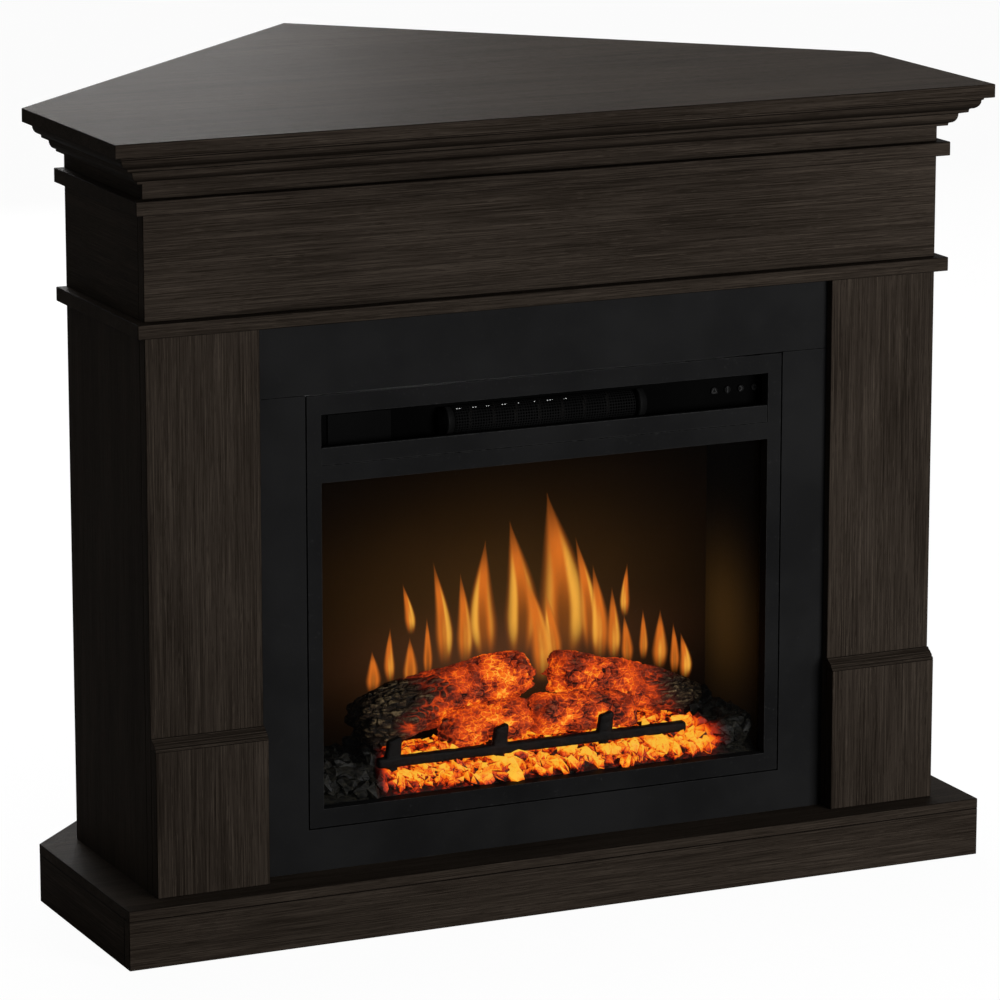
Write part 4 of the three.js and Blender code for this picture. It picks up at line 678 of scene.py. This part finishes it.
# ---- Flames ----
# The picture of flames that the turning rotor throws on the screen: soft leaf shapes, each a ribbon
# just in front of the screen, orange with pale yellow rims and clear towards the foot.
# x and z of the foot, x and z of the tip, widest width in millimetres, lean, rims and hollowness.
FLAMES = [
    (-0.156, 0.228, -0.156, 0.280, 20, 0.2, 0.0, 0.5),
    (-0.133, 0.238, -0.134, 0.306, 15, -0.3, 0.4, 0.1),
    (-0.106, 0.294, -0.116, 0.358, 15, 0.4, 0.8, 0.1),
    (-0.108, 0.232, -0.108, 0.292, 20, 0.1, 0.2, 0.5),
    (-0.085, 0.240, -0.086, 0.314, 13, 0.1, 0.0, 0.6),
    (-0.062, 0.250, -0.075, 0.380, 24, 0.5, 0.9, 0.3),
    (-0.036, 0.248, -0.041, 0.363, 23, 0.3, 0.5, 0.3),
    (-0.008, 0.252, -0.012, 0.400, 38, -0.4, -0.8, 0.7),
    (0.036, 0.248, 0.026, 0.421, 46, 0.5, -0.9, 0.9),
    (0.066, 0.216, 0.043, 0.360, 31, 0.7, 0.4, 0.2),
    (0.093, 0.236, 0.076, 0.450, 66, 0.4, 0.9, 0.9),
    (0.084, 0.236, 0.070, 0.330, 24, 0.1, -0.9, 0.3),
    (0.130, 0.246, 0.112, 0.392, 28, 0.6, 0.8, 0.6),
    (0.142, 0.236, 0.134, 0.356, 27, 0.4, -0.6, 0.2),
    (0.161, 0.234, 0.158, 0.326, 21, 0.1, 0.5, 0.2),
    (0.176, 0.286, 0.178, 0.353, 14, -0.3, -0.6, 0.1),
    (0.180, 0.226, 0.175, 0.290, 17, 0.2, 0.0, 0.4),
    (0.201, 0.230, 0.200, 0.294, 13, 0.1, 0.3, 0.3),
    (0.223, 0.216, 0.223, 0.291, 22, 0.0, 0.3, 0.1),
    (0.243, 0.208, 0.241, 0.273, 14, 0.2, 0.0, 0.4),
    (0.258, 0.200, 0.253, 0.259, 18, 0.5, 0.7, 0.1),
]
FLAME_STEPS = 28
FLAME_SIDES = 10
FLAME_GAP = 0.0003
FLAME_SPREAD = 1.15  # the soft edge lies outside the width that is seen
FLAME_BELLY = 0.34  # height of the widest place, as a share
FLAME_ORANGE = (0.72, 0.165, 0.016, 1)
FLAME_DEEP = (0.46, 0.110, 0.014, 1)
FLAME_DIM = (0.20, 0.056, 0.008, 1)
FLAME_YELLOW = (1.0, 0.45, 0.055, 1)


def leaf_width(up):
    """Half width of a flame at a share of its height, 1 at its belly."""
    if up < FLAME_BELLY:
        return 0.62 + 0.38 * math.sin(math.pi / 2 * up / FLAME_BELLY)
    taper = (up - FLAME_BELLY) / (1 - FLAME_BELLY)
    return max((1 - taper) ** 1.15 * (1 + 0.55 * taper), 0.01)


def flame_ribbon(mesh, number, foot, tip, width, sway, rim, clear):
    """A leaf between its foot and its tip. Its UV runs across and up; two attributes shape its light."""
    uv = mesh.loops.layers.uv["UVMap"]
    shape = mesh.verts.layers.float_color["blaze"]
    depth = SCREEN_LOW.y - FLAME_GAP * (2 + number % 5)
    rows = []
    for step in range(FLAME_STEPS + 1):
        up = step / FLAME_STEPS
        middle = foot.lerp(tip, up) + Vector((math.sin(up * math.pi * 1.2) * sway * width * 0.25, 0))
        reach = width * 0.5 * leaf_width(up)
        rows.append([mesh.verts.new((middle.x + reach * (2 * side / FLAME_SIDES - 1), depth, middle.y))
                     for side in range(FLAME_SIDES + 1)])
    for step in range(FLAME_STEPS):
        for side in range(FLAME_SIDES):
            corners = ((step, side), (step, side + 1), (step + 1, side + 1), (step + 1, side))
            face = mesh.faces.new([rows[s][c] for s, c in corners])
            for loop, (s, c) in zip(face.loops, corners):
                loop[uv].uv = (c / FLAME_SIDES, s / FLAME_STEPS)
                loop.vert[shape] = (0.5 + rim / 2, clear, 0, 1)


flames = bmesh.new()
flames.loops.layers.uv.new("UVMap")
flames.verts.layers.float_color.new("blaze")
for number, (x0, z0, x1, z1, width, sway, rim, clear) in enumerate(FLAMES):
    flame_ribbon(flames, number, Vector((x0, z0)), Vector((x1, z1)), width / 1000 * FLAME_SPREAD, sway, rim, clear)

flame_light, wire, shader = material("flame_light")
uv = wire.node("ShaderNodeUVMap", {"uv_map": "UVMap"})
across = wire.node(split, None, {"Vector": uv}, "X") * 2.0 - 1.0
up = wire.node(split, None, {"Vector": uv}, "Y")
told = wire.node("ShaderNodeAttribute", {"attribute_name": "blaze"}, output="Color")
part = "ShaderNodeSeparateColor"
rim_side = wire.node(part, None, {"Color": told}, "Red") * 2.0 - 1.0
clearness = wire.node(part, None, {"Color": told}, "Green")
place = wire.node("ShaderNodeTexCoord", output="Object")
drawn = wire.node("ShaderNodeMapping", None, {"Vector": place, "Scale": (85.0, 1.0, 16.0)})
wisps = wire.node("ShaderNodeTexNoise", None, {"Vector": drawn, "Scale": 1.0, "Detail": 2.0})
from_middle = across.maths("ABSOLUTE", across)
soft_edge = 1.0 - from_middle.rise(0.30, 1.0)
side_place = across * rim_side.maths("SIGN", rim_side)
rim_band = side_place.rise(0.05, 0.50) * (1.0 - side_place.rise(0.48, 0.92))
one_rim = rim_band * rim_side.maths("ABSOLUTE", rim_side)
other_rim = (-side_place).rise(0.20, 0.55) * (1.0 - (-side_place).rise(0.50, 0.90)) * clearness * 0.5
low = up.rise(0.02, 0.25) * (1.0 - up.rise(0.45, 0.90))
small = (1.0 - clearness) * (1.0 - clearness)
core = (1.0 - from_middle.rise(0.0, 0.45)) * (1.0 - up.rise(0.30, 0.72)) * small
streak = wisps.rise(0.25, 0.75)
yellow = (one_rim * 1.3 + other_rim * 1.3) * low + core * streak.span(0.55, 1.0)
colour = up.rise(0.60, 1.0).blend(FLAME_ORANGE, FLAME_DEEP)
colour = from_middle.rise(0.35, 0.85).blend(colour, FLAME_DEEP)
inside = (1.0 - from_middle.rise(0.10, 0.50)) * (1.0 - up.rise(0.25, 0.68)) * clearness
colour = inside.blend(colour, FLAME_DIM)
colour = yellow.rise(0.05, 0.95).blend(colour, FLAME_YELLOW)
fade = up.rise(0.0, 0.30) * (1.0 - up.rise(0.70, 1.0) * 0.80) * streak.span(0.85, 1.0)
connect(shader, Base_Color=(0, 0, 0, 1), Roughness=1.0, Specular_IOR_Level=0.0, Emission_Color=colour,
        Emission_Strength=1.0, Alpha=soft_edge * fade * (1.0 - inside * 0.35))
piece("flames", flames, flame_light, [])

# ---- Ember bed ----
# A moulded translucent skin with loose chunks of resin on it, lit from below: yellow where the light
# comes through, dark in the grooves between them, and unlit coals heaped at both sides.
BED_LOW, BED_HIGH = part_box("ember_bed")
BED_LIP = 0.1425
BED_CREST = 0.1605
CREST_DEPTH = 0.026
CHUNK = 0.0105
GLOW_FROM, GLOW_TO = -0.200, 0.232
GLOW_SLANT = 0.35  # further back the glow starts further from the side walls

ember_resin, wire, shader = material("ember_resin")
place = wire.node("ShaderNodeTexCoord", output="Object")
x = wire.node(split, None, {"Vector": place}, "X")
z = wire.node(split, None, {"Vector": place}, "Z")
chance = wire.node("ShaderNodeAttribute", {"attribute_name": "chance"}, output="Fac")
tip = wire.node("ShaderNodeAttribute", {"attribute_name": "tip"}, output="Fac")
blobs = wire.node("ShaderNodeTexNoise", None, {"Vector": place, "Scale": 110.0, "Detail": 3.0})
veins = wire.node("ShaderNodeTexVoronoi", {"feature": "DISTANCE_TO_EDGE"},
                  {"Vector": place, "Scale": 130.0}, "Distance")
y = wire.node(split, None, {"Vector": place}, "Y")
slant = (y - (BED_LOW.y + 0.01)) * GLOW_SLANT
lit_span = (x - slant).rise(GLOW_FROM - 0.008, GLOW_FROM + 0.02)
lit_span = lit_span * (1.0 - (x + slant).rise(GLOW_TO - 0.02, GLOW_TO + 0.02))
facet = wire.node("ShaderNodeNewGeometry", output="True Normal")
facet_up = wire.node(split, None, {"Vector": facet}, "Z")
facets = wire.node("ShaderNodeTexNoise", None, {"Vector": facet, "Scale": 2.6, "Detail": 1.0})
far = (y - BED_LOW.y).rise(0.030, 0.042)
# facet_up is painted shading: facets that face up glow a little brighter, so that the chunks' forms read.
heat = blobs * 0.70 + chance * 0.30 + tip * 0.60 + facets.rise(0.30, 0.70) * 0.40 + facet_up * 0.06
heat = heat - (1.0 - veins.rise(0.0, 0.07)) * 0.16 - far * 0.20
heat = heat.rise(0.58, 1.42) * lit_span
colour = heat.ramp((0.0, (0.0, 0.0, 0.0, 1)), (0.18, (0.05, 0.002, 0.001, 1)),
                   (0.36, (0.46, 0.022, 0.002, 1)), (0.54, (0.90, 0.095, 0.004, 1)),
                   (0.74, (1.0, 0.28, 0.010, 1)), (1.0, (1.0, 0.52, 0.040, 1)))
ash = blobs.rise(0.35, 0.7).blend((0.0008, 0.0008, 0.0006, 1), (0.0034, 0.0031, 0.0020, 1))
pale_edge = (1.0 - veins.rise(0.0, 0.05)) * 0.35
height = blobs + veins * 1.5
bump = wire.node("ShaderNodeBump", None, {"Strength": 0.6, "Distance": 0.0012, "Height": height})
connect(shader, Base_Color=pale_edge.blend(ash, (0.055, 0.048, 0.030, 1)), Roughness=blobs.span(0.4, 0.8),
        Emission_Color=colour, Emission_Strength=1.0, Normal=bump, Specular_IOR_Level=0.12)


def bed_height(depth):
    """Top of the skin at a depth behind the bed's front edge."""
    return BED_LIP + (BED_CREST - BED_LIP) * min(depth / CREST_DEPTH, 1.0)


def chunk_shape(seed):
    """A rough block of few faces, a unit across."""
    mesh = bmesh.new()
    bmesh.ops.create_cube(mesh, size=1.0)
    bmesh.ops.subdivide_edges(mesh, edges=mesh.edges, cuts=1, use_grid_fill=True)
    for vertex in mesh.verts:
        rounded = vertex.co.lerp(vertex.co.normalized() * 0.60, 0.80)
        vertex.co = rounded + noise.noise_vector(vertex.co * 2.3 + Vector((seed * 7.1, 0, 0))) * 0.32
    data = bpy.data.meshes.new("chunk_%d" % seed)
    mesh.to_mesh(data)
    mesh.free()
    return bpy.data.objects.new("chunk_%d" % seed, data)


def scattered_chunks(name, ground, size, spacing, seed, finish, spread=(0.6, 1.35)):
    """Chunks on a ground mesh by Geometry Nodes: Poisson places, free turns and sizes, made real."""
    tree = bpy.data.node_groups.new(name, "GeometryNodeTree")
    tree.interface.new_socket("Geometry", in_out="INPUT", socket_type="NodeSocketGeometry")
    tree.interface.new_socket("Geometry", in_out="OUTPUT", socket_type="NodeSocketGeometry")
    names = {
        "Size": tree_input(tree, "Size", "NodeSocketFloat", 0.01),
        "Spacing": tree_input(tree, "Spacing", "NodeSocketFloat", 0.01),
        "Seed": tree_input(tree, "Seed", "NodeSocketInt", 0),
    }
    nodes, links = tree.nodes, tree.links
    given = nodes.new("NodeGroupInput")
    spots = nodes.new("GeometryNodeDistributePointsOnFaces")
    spots.distribute_method = "POISSON"
    spots.inputs["Density Max"].default_value = 400000.0
    turn = nodes.new("FunctionNodeRandomValue")
    turn.data_type = "FLOAT_VECTOR"
    turn.inputs[0].default_value = (-0.5, -0.5, 0.0)
    turn.inputs[1].default_value = (0.5, 0.5, math.tau)
    grow = nodes.new("FunctionNodeRandomValue")
    grow.data_type = "FLOAT_VECTOR"
    grow.inputs[0].default_value = (spread[0], spread[0], spread[0])
    grow.inputs[1].default_value = (spread[1] * 1.5, spread[1], spread[1] * 1.3)
    scaled = nodes.new("ShaderNodeVectorMath")
    scaled.operation = "SCALE"
    chance = nodes.new("FunctionNodeRandomValue")
    chance.data_type = "FLOAT"
    stored = nodes.new("GeometryNodeStoreNamedAttribute")
    stored.data_type = "FLOAT"
    stored.domain = "INSTANCE"
    stored.inputs["Name"].default_value = "chance"
    pick = nodes.new("FunctionNodeRandomValue")
    pick.data_type = "INT"
    pick.inputs[4].default_value = 0
    pick.inputs[5].default_value = 3
    shapes = nodes.new("GeometryNodeJoinGeometry")
    kinds = nodes.new("GeometryNodeGeometryToInstance")
    for number in range(4):
        kind = nodes.new("GeometryNodeObjectInfo")
        kind.inputs["Object"].default_value = chunk_shape(number)
        kind.inputs["As Instance"].default_value = True
        links.new(kind.outputs["Geometry"], shapes.inputs[0])
    nodes.remove(kinds)
    copies = nodes.new("GeometryNodeInstanceOnPoints")
    copies.inputs["Pick Instance"].default_value = True
    real = nodes.new("GeometryNodeRealizeInstances")
    painted = nodes.new("GeometryNodeSetMaterial")
    painted.inputs["Material"].default_value = finish
    made = nodes.new("NodeGroupOutput")
    links.new(given.outputs["Geometry"], spots.inputs["Mesh"])
    links.new(given.outputs["Spacing"], spots.inputs["Distance Min"])
    for node in (spots, turn, grow, chance, pick):
        links.new(given.outputs["Seed"], node.inputs["Seed"])
    links.new(spots.outputs["Points"], copies.inputs["Points"])
    links.new(shapes.outputs[0], copies.inputs["Instance"])
    links.new(pick.outputs[2], copies.inputs["Instance Index"])
    links.new(turn.outputs[0], copies.inputs["Rotation"])
    links.new(grow.outputs[0], scaled.inputs[0])
    links.new(given.outputs["Size"], scaled.inputs["Scale"])
    links.new(scaled.outputs[0], copies.inputs["Scale"])
    links.new(copies.outputs["Instances"], stored.inputs["Geometry"])
    links.new(chance.outputs[1], stored.inputs["Value"])
    links.new(stored.outputs["Geometry"], real.inputs["Geometry"])
    links.new(real.outputs["Geometry"], painted.inputs["Geometry"])
    links.new(painted.outputs["Geometry"], made.inputs[0])
    holder = bpy.data.objects.new(name, ground)
    scene.collection.objects.link(holder)
    modifier = holder.modifiers.new("scatter", "NODES")
    modifier.node_group = tree
    modifier[names["Size"]] = size
    modifier[names["Spacing"]] = spacing
    modifier[names["Seed"]] = seed
    return plain_mesh(holder)


def ground_strip(x0, x1, depth0, depth1, lift=lambda x, depth: 0.0, step=0.006):
    """A strip of ground over part of the bed, for chunks to stand on."""
    mesh = bmesh.new()
    columns = max(round((x1 - x0) / step), 1)
    rows = max(round((depth1 - depth0) / step), 1)
    grid = []
    for row in range(rows + 1):
        depth = depth0 + (depth1 - depth0) * row / rows
        grid.append([])
        for column in range(columns + 1):
            x = x0 + (x1 - x0) * column / columns
            height = bed_height(depth) + lift(x, depth)
            grid[-1].append(mesh.verts.new((x, BED_LOW.y + depth, height)))
    for row in range(rows):
        for column in range(columns):
            mesh.faces.new((grid[row][column], grid[row][column + 1],
                            grid[row + 1][column + 1], grid[row + 1][column]))
    data = bpy.data.meshes.new("ground")
    mesh.to_mesh(data)
    mesh.free()
    return data


HEAPS = (  # x from and to, depth from and to, lift, seed
    (-0.205, -0.080, 0.034, 0.062, 0.014, 13),
    (0.150, 0.215, 0.034, 0.062, 0.014, 14),
    (-0.080, 0.150, 0.036, 0.075, 0.008, 15),
)


def heap_lift(x, depth):
    """How far a heap raises the ground at a place."""
    for x0, x1, depth0, depth1, lift, seed in HEAPS:
        if x0 <= x <= x1 and depth0 <= depth <= depth1:
            return lift
    return 0.0


def tips_marked(mesh):
    """Marks how high each point of a chunk stands over its ground: its foot is darker."""
    layer = mesh.verts.layers.float.new("tip")
    for vertex in mesh.verts:
        depth = vertex.co.y - BED_LOW.y
        over = vertex.co.z + 0.002 - bed_height(depth) - heap_lift(vertex.co.x, depth)
        vertex[layer] = min(max(over / 0.016, 0.0), 1.0)
    return mesh


def side_bank(x, depth):
    """Coals heap up towards the side walls."""
    wall = (BED_HIGH.x - abs(x)) / 0.075
    return 0.018 * max(1.0 - wall, 0.0) ** 0.8


skin = copy_of("ember_bed")
loose = [f for f in skin.faces if f.calc_center_median().z > BED_CREST + 0.004]
inner_x = BED_HIGH.x - 0.008
chunks = bmesh.new()
for depth0, depth1, spacing, size, seed in ((0.007, 0.020, 0.0100, 0.0150, 3),
                                            (0.020, 0.060, 0.0125, 0.0160, 5),
                                            (0.060, 0.128, 0.0140, 0.0170, 8)):
    ground = ground_strip(-inner_x, inner_x, depth0, depth1, side_bank)
    chunks.from_mesh(scattered_chunks("embers_%d" % seed, ground, size, spacing, seed, ember_resin))
for x0, x1, depth0, depth1, lift, seed in HEAPS:
    heap = ground_strip(x0, x1, depth0, depth1, lambda x, depth, lift=lift: lift)
    chunks.from_mesh(scattered_chunks("embers_%d" % seed, heap, 0.014, 0.010, seed, ember_resin))
piece("ember_chunks", tips_marked(chunks), ember_resin, [], smooth=False)
piece("ember_skin", tips_marked(skin), ember_resin, ["ember_bed"], smooth=False)

# ---- Grate ----
# A cast iron grate: bars with rough rounded corners that stand on legs in the ember bed, with three
# broad tines in front that keep the logs back.
GRATE_VOXEL = 0.0011
GRATE_SWELL = 0.0021  # the casting is rounder than its drawn bars

cast_iron, wire, shader = material("cast_iron")
place = wire.node("ShaderNodeTexCoord", output="Object")
sand = wire.node("ShaderNodeTexNoise", None, {"Vector": place, "Scale": 420.0, "Detail": 4.0})
rust = wire.node("ShaderNodeTexNoise", None, {"Vector": place, "Scale": 45.0, "Detail": 5.0})
colour = rust.rise(0.45, 0.7).blend((0.0018, 0.0014, 0.0013, 1), (0.0060, 0.0028, 0.0020, 1))
colour = (sand.rise(0.6, 0.8) * 0.5).blend(colour, (0.0110, 0.0075, 0.0060, 1))
bump = wire.node("ShaderNodeBump", None, {"Strength": 0.7, "Distance": 0.0005, "Height": sand})
connect(shader, Base_Color=colour, Roughness=sand.span(0.5, 0.85), Metallic=0.3, Normal=bump,
        Specular_IOR_Level=0.1)


def voxelled(name, mesh, voxel):
    """A bmesh joined into one even skin of small faces."""
    data = bpy.data.meshes.new(name)
    mesh.to_mesh(data)
    mesh.free()
    holder = bpy.data.objects.new(name, data)
    scene.collection.objects.link(holder)
    remesh = holder.modifiers.new("skin", "REMESH")
    remesh.mode = "VOXEL"
    remesh.voxel_size = voxel
    made = bmesh.new()
    made.from_mesh(plain_mesh(holder))
    return made


casting = voxelled("grate", copy_of("grate"), GRATE_VOXEL)
for turn in range(2):
    bmesh.ops.smooth_vert(casting, verts=casting.verts, factor=0.6, use_axis_x=True, use_axis_y=True,
                          use_axis_z=True)
casting.normal_update()
for vertex in casting.verts:
    vertex.co += vertex.normal * (GRATE_SWELL + noise.noise(vertex.co * 160.0) * 0.0006)
piece("cast_grate", casting, cast_iron, ["grate"])

# ---- Logs ----
# Four moulded resin logs with deep bark. Their undersides and middles glow through a network of cracks
# and their outer ends are dull grey brown bark. Two long ones lie behind, two short ones in front.
LOG_VOXEL = 0.0013
BARK_PALE = (0.140, 0.100, 0.052, 1)
BARK_BROWN = (0.034, 0.020, 0.011, 1)
BARK_CHAR = (0.0040, 0.0028, 0.0020, 1)
BARK_RED = (0.090, 0.011, 0.004, 1)

log_resin, wire, shader = material("log_resin")
place = wire.node("ShaderNodeTexCoord", output="Object")
told = wire.node("ShaderNodeAttribute", {"attribute_name": "bark"}, output="Color")
groove = wire.node(part, None, {"Color": told}, "Red")
lit = wire.node(part, None, {"Color": told}, "Green")
ridge = wire.node(part, None, {"Color": told}, "Blue")
fibres = wire.node("ShaderNodeMapping", None, {"Vector": place, "Scale": (90.0, 420.0, 420.0)})
fibre = wire.node("ShaderNodeTexNoise", None, {"Vector": fibres, "Scale": 1.0, "Detail": 4.0})
wander = wire.node("ShaderNodeTexNoise", None, {"Vector": place, "Scale": 70.0, "Detail": 2.0}, "Color")
wandered = wire.node("ShaderNodeVectorMath", {"operation": "MULTIPLY_ADD"},
                     {0: wander, 1: (0.012, 0.012, 0.012), 2: place})
veins = wire.node("ShaderNodeTexVoronoi", {"feature": "DISTANCE_TO_EDGE"},
                  {"Vector": wandered, "Scale": 125.0}, "Distance")
patches = wire.node("ShaderNodeTexNoise", None, {"Vector": place, "Scale": 36.0, "Detail": 3.0})
bark = fibre.rise(0.35, 0.65).blend(BARK_CHAR, BARK_BROWN)
# The pale colour on the bark ridges is partly the bark's own paler tone and partly a painted highlight of warm
# firelight.
bark = (ridge * fibre.rise(0.40, 0.60)).blend(bark, BARK_PALE)
bark = (lit.rise(0.05, 0.5) * patches.rise(0.3, 0.6)).blend(bark, BARK_RED)
bark = (groove * 0.9).blend(bark, BARK_CHAR)
crack = 1.0 - veins.rise(0.0, 0.10)
heat = lit.rise(0.08, 0.95) * (patches.rise(0.36, 0.66) * 0.54 + fibre.rise(0.3, 0.7) * 0.18 + 0.15)
heat = heat + crack * lit.rise(0.15, 0.80) * patches.span(0.02, 0.46)
heat = heat + groove * (lit.rise(0.06, 0.32) * 0.34 - lit.rise(0.36, 0.72) * 0.54)
heat_colour = heat.ramp((0.0, (0, 0, 0, 1)), (0.12, (0.030, 0.003, 0.002, 1)),
                        (0.32, (0.26, 0.022, 0.005, 1)), (0.52, (0.74, 0.070, 0.006, 1)),
                        (0.72, (1.0, 0.21, 0.009, 1)), (0.95, (1.0, 0.50, 0.050, 1)))
height = fibre * 0.6 + veins * 1.2 + ridge
bump = wire.node("ShaderNodeBump", None, {"Strength": 0.8, "Distance": 0.0015, "Height": height})
connect(shader, Base_Color=bark, Roughness=fibre.span(0.5, 0.9), Emission_Color=heat_colour,
        Emission_Strength=1.0, Normal=bump, Specular_IOR_Level=0.06)


def smooth(value, low, high):
    value = min(max((value - low) / (high - low), 0.0), 1.0)
    return value * value * (3 - 2 * value)


def log(node, glow_middle, glow_reach, seed, swell, bark_depth=0.0034, ragged=0.012):
    """A log with bark ridges along it, ragged ends and a glow round one place of its length."""
    mesh = voxelled(node, copy_of(node), LOG_VOXEL)
    for turn in range(3):
        bmesh.ops.smooth_vert(mesh, verts=mesh.verts, factor=0.7, use_axis_x=True, use_axis_y=True,
                              use_axis_z=True)
    mesh.normal_update()
    low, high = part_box(node)
    length = high.x - low.x
    shift = Vector((seed * 3.7, seed * 1.3, seed * 5.1))
    layer = mesh.verts.layers.float_color.new("bark")
    for vertex in mesh.verts:
        place = vertex.co.copy()
        along = (place.x - low.x) / length
        stretched = Vector((place.x * 34, place.y * 150, place.z * 150)) + shift
        stretched += noise.noise_vector(place * 70 + shift) * 0.75
        near, points = noise.voronoi(stretched)
        gap = near[1] - near[0]
        plate = smooth(gap, 0.0, 0.20)
        ribs = Vector((place.x * 60, place.y * 330, place.z * 330)) + shift
        fine = noise.noise(ribs) * 1.3 + noise.fractal(place * 420 + shift, 0.9, 2.0, 2) * 0.5
        end = 1.0 - smooth(min(along, 1.0 - along), 0.0, 0.09)
        lump = noise.noise(place * 42 + shift)
        rise = swell[0] + (swell[1] - swell[0]) * along
        vertex.co += vertex.normal * (rise + bark_depth * (plate - 0.85) + 0.0006 * fine + 0.0014 * lump)
        if end > 0:
            inwards = 1 if along < 0.5 else -1
            tooth = abs(noise.noise(Vector((0, place.y * 75, place.z * 75)) + shift))
            vertex.co.x += inwards * end * ragged * tooth * 2.0
        reach = abs(along - glow_middle) / glow_reach
        patchy = noise.noise(place * 26 + shift) * 0.28
        under = 1.12 - 0.42 * smooth(vertex.normal.z, -0.6, 0.9)
        lit = smooth(1.12 - reach + patchy, 0.0, 1.1) * under
        ridge = plate * smooth(fine, -0.2, 0.5) * (1 - lit)
        vertex[layer] = (1 - plate, lit, ridge, 1)
    piece("bark_" + node, mesh, log_resin, [node])


log("log_back_left", 0.80, 0.62, 1, (0.0065, 0.0045))
log("log_back_right", 0.30, 0.66, 2, (0.0045, 0.0040))
log("log_front_left", 0.60, 0.90, 3, (0.0035, 0.0045), 0.0026)
log("log_front_right", 0.50, 0.95, 4, (0.0045, 0.0035), 0.0026)

# ---- Drives ----
# Behind the screen a rotor of bright vanes turns between a bracket and a small motor. Over the firebox
# a blower wheel in its housing pushes air through the ceramic heating element.
bright = brushed("bright_vanes", (0.45, 0.46, 0.47, 1), (0.70, 0.71, 0.72, 1), 0.22)
dressed("flame_rotor", bright)
# Painted shade: the blower housing and wheel get the black powder coat so that what shows through the grille's
# holes stays dark.
for node in ("blower_housing", "blower_wheel"):
    dressed(node, powder_coat)
for node in ("rotor_motor", "rotor_bracket", "blower_motor"):
    dressed(node, zinc)
ceramic, wire, shader = material("heater_ceramic")
place = wire.node("ShaderNodeTexCoord", output="Object")
pits = wire.node("ShaderNodeTexNoise", None, {"Vector": place, "Scale": 300.0, "Detail": 4.0})
bump = wire.node("ShaderNodeBump", None, {"Strength": 0.4, "Distance": 0.0003, "Height": pits})
connect(shader, Base_Color=pits.rise(0.3, 0.7).blend((0.012, 0.011, 0.010, 1), (0.022, 0.020, 0.018, 1)),
        Roughness=pits.span(0.6, 0.9), Normal=bump, Specular_IOR_Level=0.02)
dressed("heating_element", ceramic)
